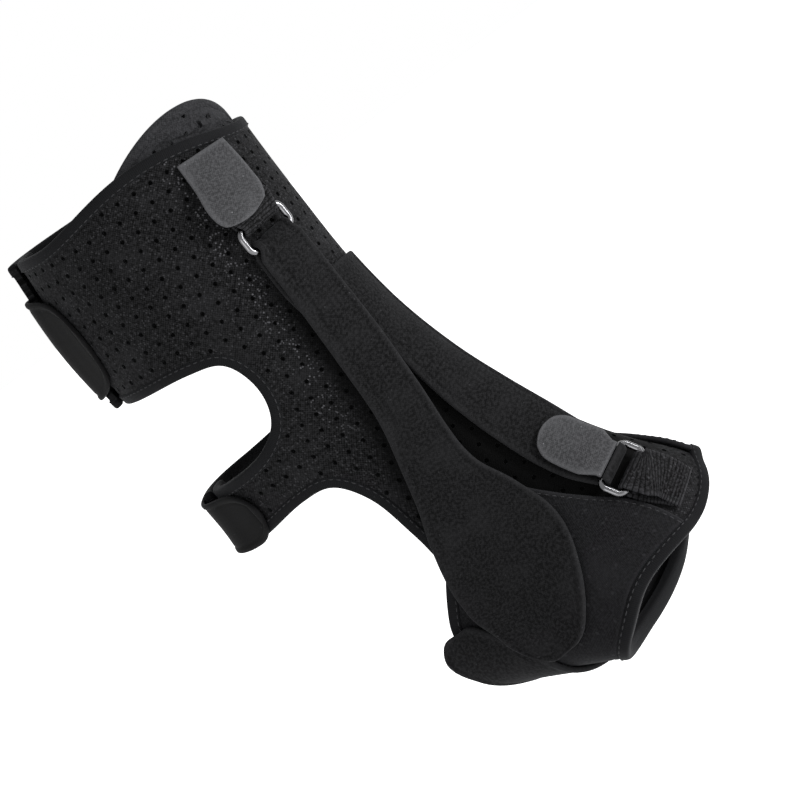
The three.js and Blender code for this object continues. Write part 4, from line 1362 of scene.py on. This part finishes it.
def folded(name, frame, side, thick, relief, under=None, over_band=None, face=-1, lead=(), step=0.9 * MM):
    """A strap that lies under a ring's bar, folds round it and runs on over itself.

    face is -1 where the face seen at the end is the one that lies towards the skin under the bar.
    """
    radius = sizes().wire / 2 + sizes().clearance + thick / 2
    band, end = (under, -1) if under else (over_band, 0)
    offsets = across_offsets(band.half[[end]], band.offsets.shape[1] - 6, thick / 2)

    def at_bar(angle, facing, beyond=0.0):
        points, radial = frame.loop(side, offsets[0], radius, angle, beyond)
        return points[None], (radial * facing)[None], np.abs(offsets[:, 0]), offsets

    parts = []
    if under:
        middle, out = under.grids()[:2]
        parts.append((middle, out * face, under.half, under.offsets))
        parts += [at_bar(angle, -face) for angle in np.linspace(180, 0, 25)]
    parts += [at_bar(0, 1, beyond) for beyond in lead]
    if over_band:
        middle, out = over_band.grids()[:2]
        parts.append((middle, out * -face, over_band.half, over_band.offsets))
    middle, out, half, offsets = (np.concatenate([part[k] for part in parts]) for k in range(4))
    along = lengths(middle[:, middle.shape[1] // 2])
    extra = [np.linspace(a, b, int((b - a) / step) + 2)[1:-1] for a, b in zip(along, along[1:])]
    places = np.unique(np.concatenate([along, *extra]))
    middle, out, half, offsets = (at_places(values, along, places) for values in (middle, out, half, offsets))
    ends = np.minimum(places, places[-1] - places)
    distance = np.minimum(half[:, None] - np.abs(offsets), ends[:, None])
    uv = np.stack([offsets, np.broadcast_to(places[:, None], offsets.shape)], -1)
    return pillow(name, middle, unit(out), distance, uv, thick, relief=relief(distance, uv))


def over_sole_strap(row, turn):
    """The paddle rises over the end of the sole strap."""
    rise = sizes().strap_wall + sizes().clearance
    return rise * smooth(76, 87, turn - 10 * np.maximum(0, row - 8))


RIB_PITCH, RIB_HEIGHT, RIB_STEP = 1.5 * MM, 0.36 * MM, 0.38 * MM


def webbing_relief(distance, uv):
    """Ribs across the webbing."""
    return RIB_HEIGHT * (np.abs(np.sin(math.pi * uv[..., 1] / RIB_PITCH)) - 0.5)


class SPLINT_OT_straps(Operator):
    """Models the side strap with its paddle and the centre strap."""
    bl_idname = "splint.straps"
    bl_label = "Straps"

    def execute(self, context):
        s = sizes()
        fold, full, paddle, slack = s.webbing_width / 2, s.strap_width / 2, s.paddle_width, s.slack
        narrow = s.side_strap_width / 2
        upper, toe = upper_frame(), toe_frame()
        bar = upper.bar_row(1)
        back = band_table(
            (3.2, 33, 0.75 * fold, over_sleeve()), (2.85, 32, 0.9 * fold, over_sleeve()),
            (bar, 30, fold, under_bar() - s.strap_wall))
        top = over_binding()
        run = band_table(
            (bar, 30, fold, over_bar()), (3.0, 30.2, narrow, over_bar() - 1.5 * slack),
            (3.9, 34, narrow, top + slack), (4.9, 41, 1.02 * narrow, top + slack),
            (5.7, 48, 1.22 * narrow, top + 0.6 * slack),
            (6.28, 53, 0.27 * paddle, top), (6.82, 57, 0.40 * paddle, top), (7.43, 62, 0.49 * paddle, top),
            (8.05, 69, 0.49 * paddle, top), (8.75, 80, 0.42 * paddle, top), (9.25, 93, 0.29 * paddle, top),
            (9.40, 105, 0.10 * paddle, top))
        back_band = Band(back, s.strap_wall, columns=41, upward=True)
        run_band = Band(run, s.strap_wall, columns=41, rise=over_sole_strap, round_end=4 * MM, ease=9 * MM)
        side = folded("side_band", upper, 1, s.strap_wall, side_relief, back_band, run_band)
        place_piece(side, "strap", cloth("strap"), "side_strap")
        sew("side_band_stitches", "strap", run_band.seam(SEAM_INSET, from_place=3 * MM))

        low = over_sleeve()
        centre = band_table(
            (3.0, 3, full, low), (3.7, 5, full, low + 0.4 * slack), (4.7, 9, full, low + slack),
            (5.7, 13.2, full, low + 1.2 * slack), (7.0, 16.6, full, low + slack),
            (8.0, 17, 0.95 * full, low + 0.5 * slack),
            (toe.bar_row(-1), 17, fold, under_bar() - s.strap_wall))
        centre_band = Band(centre, s.strap_wall, columns=41)
        piece = folded("centre_band", toe, -1, s.strap_wall, edge_relief, centre_band, face=1)
        place_piece(piece, "strap", cloth("strap"), "centre_strap")
        seams = centre_band.seam(SEAM_INSET, to_place=centre_band.total - 6 * MM)
        across = np.linspace(-0.86, 0.86, 30) * full
        row, turn, lift = centre_band.spots(np.full(30, SEAM_INSET), across)
        seams.append((over(row, turn, lift + s.strap_wall), normal(row, turn)))
        sew("centre_band_stitches", "strap", seams)
        return {"FINISHED"}


class SPLINT_OT_rings(Operator):
    """Models the wire rings and the webbing round them."""
    bl_idname = "splint.rings"
    bl_label = "Rings and webbing"

    def execute(self, context):
        s = sizes()
        fold, slack, low = s.webbing_width / 2, s.slack, over_sleeve()
        upper, toe = upper_frame(), toe_frame()
        for frame, node in ((upper, "upper_ring"), (toe, "toe_ring")):
            place_piece(frame.body(node.replace("ring", "wire")), "ring_steel", steel_material(), node)

        def webbing(name, frame, side, under, above, node):
            under, above = (Band(band_table(*rows), s.webbing_wall, step=RIB_STEP, upward=upward)
                            for rows, upward in ((under, side > 0), (above, side < 0)))
            piece = folded(name, frame, side, s.webbing_wall, webbing_relief, under, above, step=RIB_STEP)
            place_piece(piece, "webbing", cloth("webbing"), node)

        bar = upper.bar_row(-1)
        webbing("upper_webbing", upper, -1,
                ((1.4, 31.5, fold, low), (bar, 30, fold, under_bar() - s.webbing_wall)),
                ((bar, 30, fold, over_bar()), (1.56, 31.5, fold, low + s.webbing_wall + 3 * slack)), "ring_webbing")
        bar = toe.bar_row(1)
        webbing("toe_webbing_strip", toe, 1,
                ((10.9, 10.4, fold, low + s.drape), (bar, 16, fold, under_bar() - s.webbing_wall - 0.8 * slack)),
                ((bar, 16, fold, over_bar() + 1.6 * slack), (10.5, 12, fold, low + 5 * slack),
                 (11.15, 9.8, fold, low + s.webbing_wall)), "toe_webbing")
        return {"FINISHED"}


def grip_relief(distance, uv):
    """Slow waves of a tab that has been pulled at."""
    return 0.15 * MM * np.sin(uv[..., 1] / (4 * MM) + uv[..., 0] / (7 * MM)) * smooth(0, 3 * MM, distance)


class SPLINT_OT_grey_tabs(Operator):
    """Models the grey tab under the rim and the folded grey end of the centre strap."""
    bl_idname = "splint.grey_tabs"
    bl_label = "Grey tabs"

    def execute(self, context):
        s = sizes()
        fold, slack, low = s.webbing_width / 2, s.slack, over_sleeve()
        over_it = over_bar()
        table = band_table(
            (8.3, 17.1, 0.96 * fold, over_it), (7.8, 17.4, 0.95 * fold, over_it - 1.5 * slack),
            (7.33, 17.6, 0.86 * fold, over_it - 2 * slack), (7.0, 17.8, 0.45 * fold, over_it - 2.2 * slack))
        band = Band(table, s.tab_wall, upward=True, round_end=3 * MM)
        tab = folded("toe_grip", toe_frame(), -1, s.tab_wall, grip_relief, over_band=band, lead=(s.clearance, s.wire))
        place_piece(tab, "grey_hook", cloth("hook"), "toe_tab")
        half = 11.6 * MM
        table = band_table(
            (float(rim_edge(31)) + 0.03, 31, half, low + s.binding_proud), (1.34, 32, half, low + 5 * slack),
            (1.58, 34, 0.98 * half, over_it + 2 * slack), (1.76, 34.4, 0.84 * half, over_it + 2.7 * slack),
            (1.86, 34.4, 0.5 * half, over_it + 2.7 * slack))
        band = Band(table, s.tab_wall, round_end=3 * MM)
        place_piece(band.build("top_grip", grip_relief), "grey_hook", cloth("hook"), "top_tab")
        return {"FINISHED"}


# Stage

VIEW = {"azimuth": 26, "elevation": 9, "roll": 36, "scale": 2.25, "centre": (375, 550), "distance": 1.1}
IMAGE = 800
# Metres to the right, up and towards the camera from LIT_FROM, then size and energy
LIGHTS = (
    ("Key light", 0.80, 0.70, 0.70, 0.30, 16),
    ("Fill light", -0.4, -0.6, 1.0, 0.8, 4),
    ("Edge light", 0.35, 1.1, 0.35, 0.12, 2),
)
LIT_FROM, LIT_AT = Vector((0.04, 0, 0.05)), Vector((0.03, 0, 0.05))


def soft_light(name, place, size, energy):
    bpy.ops.object.select_all(action="DESELECT")
    bpy.ops.object.light_add(type="AREA", location=place)
    lamp = bpy.context.object
    lamp.name = name
    lamp.data.shape, lamp.data.size, lamp.data.energy = "DISK", size, energy
    lamp.rotation_euler = (LIT_AT - place).to_track_quat("-Z", "Y").to_euler()


class SPLINT_OT_stage(Operator):
    """Sets up floor, soft lights and the camera."""
    bl_idname = "splint.stage"
    bl_label = "Stage"

    def execute(self, context):
        a, e, r = (math.radians(VIEW[key]) for key in ("azimuth", "elevation", "roll"))
        back = Vector((math.sin(a) * math.cos(e), -math.cos(a) * math.cos(e), math.sin(e)))
        level = Vector((math.cos(a), math.sin(a), 0))
        upright = back.cross(level)
        right = math.cos(r) * level - math.sin(r) * upright
        up = math.sin(r) * level + math.cos(r) * upright
        shift = [(IMAGE / 2 - c) / VIEW["scale"] * MM for c in VIEW["centre"]]
        target = right * shift[0] - up * shift[1]
        place = target + back * VIEW["distance"]
        bpy.ops.object.camera_add()
        camera = bpy.context.object
        camera.name = "Photo camera"
        camera.matrix_world = Matrix.Translation(place) @ Matrix((right, up, back)).transposed().to_4x4()
        camera.data.sensor_width = 36
        camera.data.lens = 36 * VIEW["distance"] / (IMAGE / VIEW["scale"] * MM)
        camera.data.clip_start, camera.data.clip_end = 0.01, 20
        context.scene.camera = camera

        bpy.ops.object.select_all(action="DESELECT")
        bpy.ops.mesh.primitive_circle_add(vertices=96, radius=6, fill_type="NGON", location=(0, 0, -0.20))
        floor = bpy.context.object
        floor.name = "studio_floor"
        bpy.ops.object.transform_apply(location=True)
        material, n, shader = new_material("Studio floor")
        place = n.add("ShaderNodeTexCoord").outputs["Object"]
        tone = shade(n, rgba(colours().floor, 0.985), rgba(colours().floor), n.noise(place, 3.0, 3, 0.5))
        n.put(shader, "Base Color", tone)
        n.put(shader, "Emission Color", tone)
        shader.inputs["Emission Strength"].default_value = 0.6
        shader.inputs["Roughness"].default_value = 0.9
        shader.inputs["Specular IOR Level"].default_value = 0.1
        floor.data.materials.append(material)

        world = bpy.data.worlds.new("Studio")
        world.use_nodes = True
        background = world.node_tree.nodes["Background"].inputs
        background["Color"].default_value = (1, 1, 1, 1)
        background["Strength"].default_value = 1.0
        context.scene.world = world
        for name, x, y, z, size, energy in LIGHTS:
            soft_light(name, LIT_FROM + (x * right + y * up + z * back), size, energy)
        context.scene.view_settings.view_transform = "Standard"
        return {"FINISHED"}


OPERATORS = (
    SPLINT_OT_sleeve, SPLINT_OT_shin_pad, SPLINT_OT_bound_edges, SPLINT_OT_foot_wrap, SPLINT_OT_closures,
    SPLINT_OT_straps, SPLINT_OT_rings, SPLINT_OT_grey_tabs, SPLINT_OT_stage,
)


class SPLINT_PT_panel(Panel):
    """Lists the steps that model the splint, and its sizes and colours."""
    bl_idname = "SPLINT_PT_panel"
    bl_label = "Night splint"
    bl_space_type = "VIEW_3D"
    bl_region_type = "UI"
    bl_category = "Splint"

    def draw(self, context):
        for operator in OPERATORS:
            self.layout.operator(operator.bl_idname)
        for holder in (context.scene.splint_sizes, context.scene.splint_colours):
            column = self.layout.column()
            for key in holder.__annotations__:
                column.prop(holder, key)


CLASSES = (SplintSizes, SplintColours, *OPERATORS, SPLINT_PT_panel)


def register():
    for cls in CLASSES:
        bpy.utils.register_class(cls)
    bpy.types.Scene.splint_sizes = PointerProperty(type=SplintSizes)
    bpy.types.Scene.splint_colours = PointerProperty(type=SplintColours)


def unregister():
    del bpy.types.Scene.splint_colours
    del bpy.types.Scene.splint_sizes
    for cls in reversed(CLASSES):
        bpy.utils.unregister_class(cls)


def main():
    register()
    for operator in OPERATORS:
        category, name = operator.bl_idname.split(".")
        getattr(getattr(bpy.ops, category), name)()


if __name__ == "__main__":
    main()
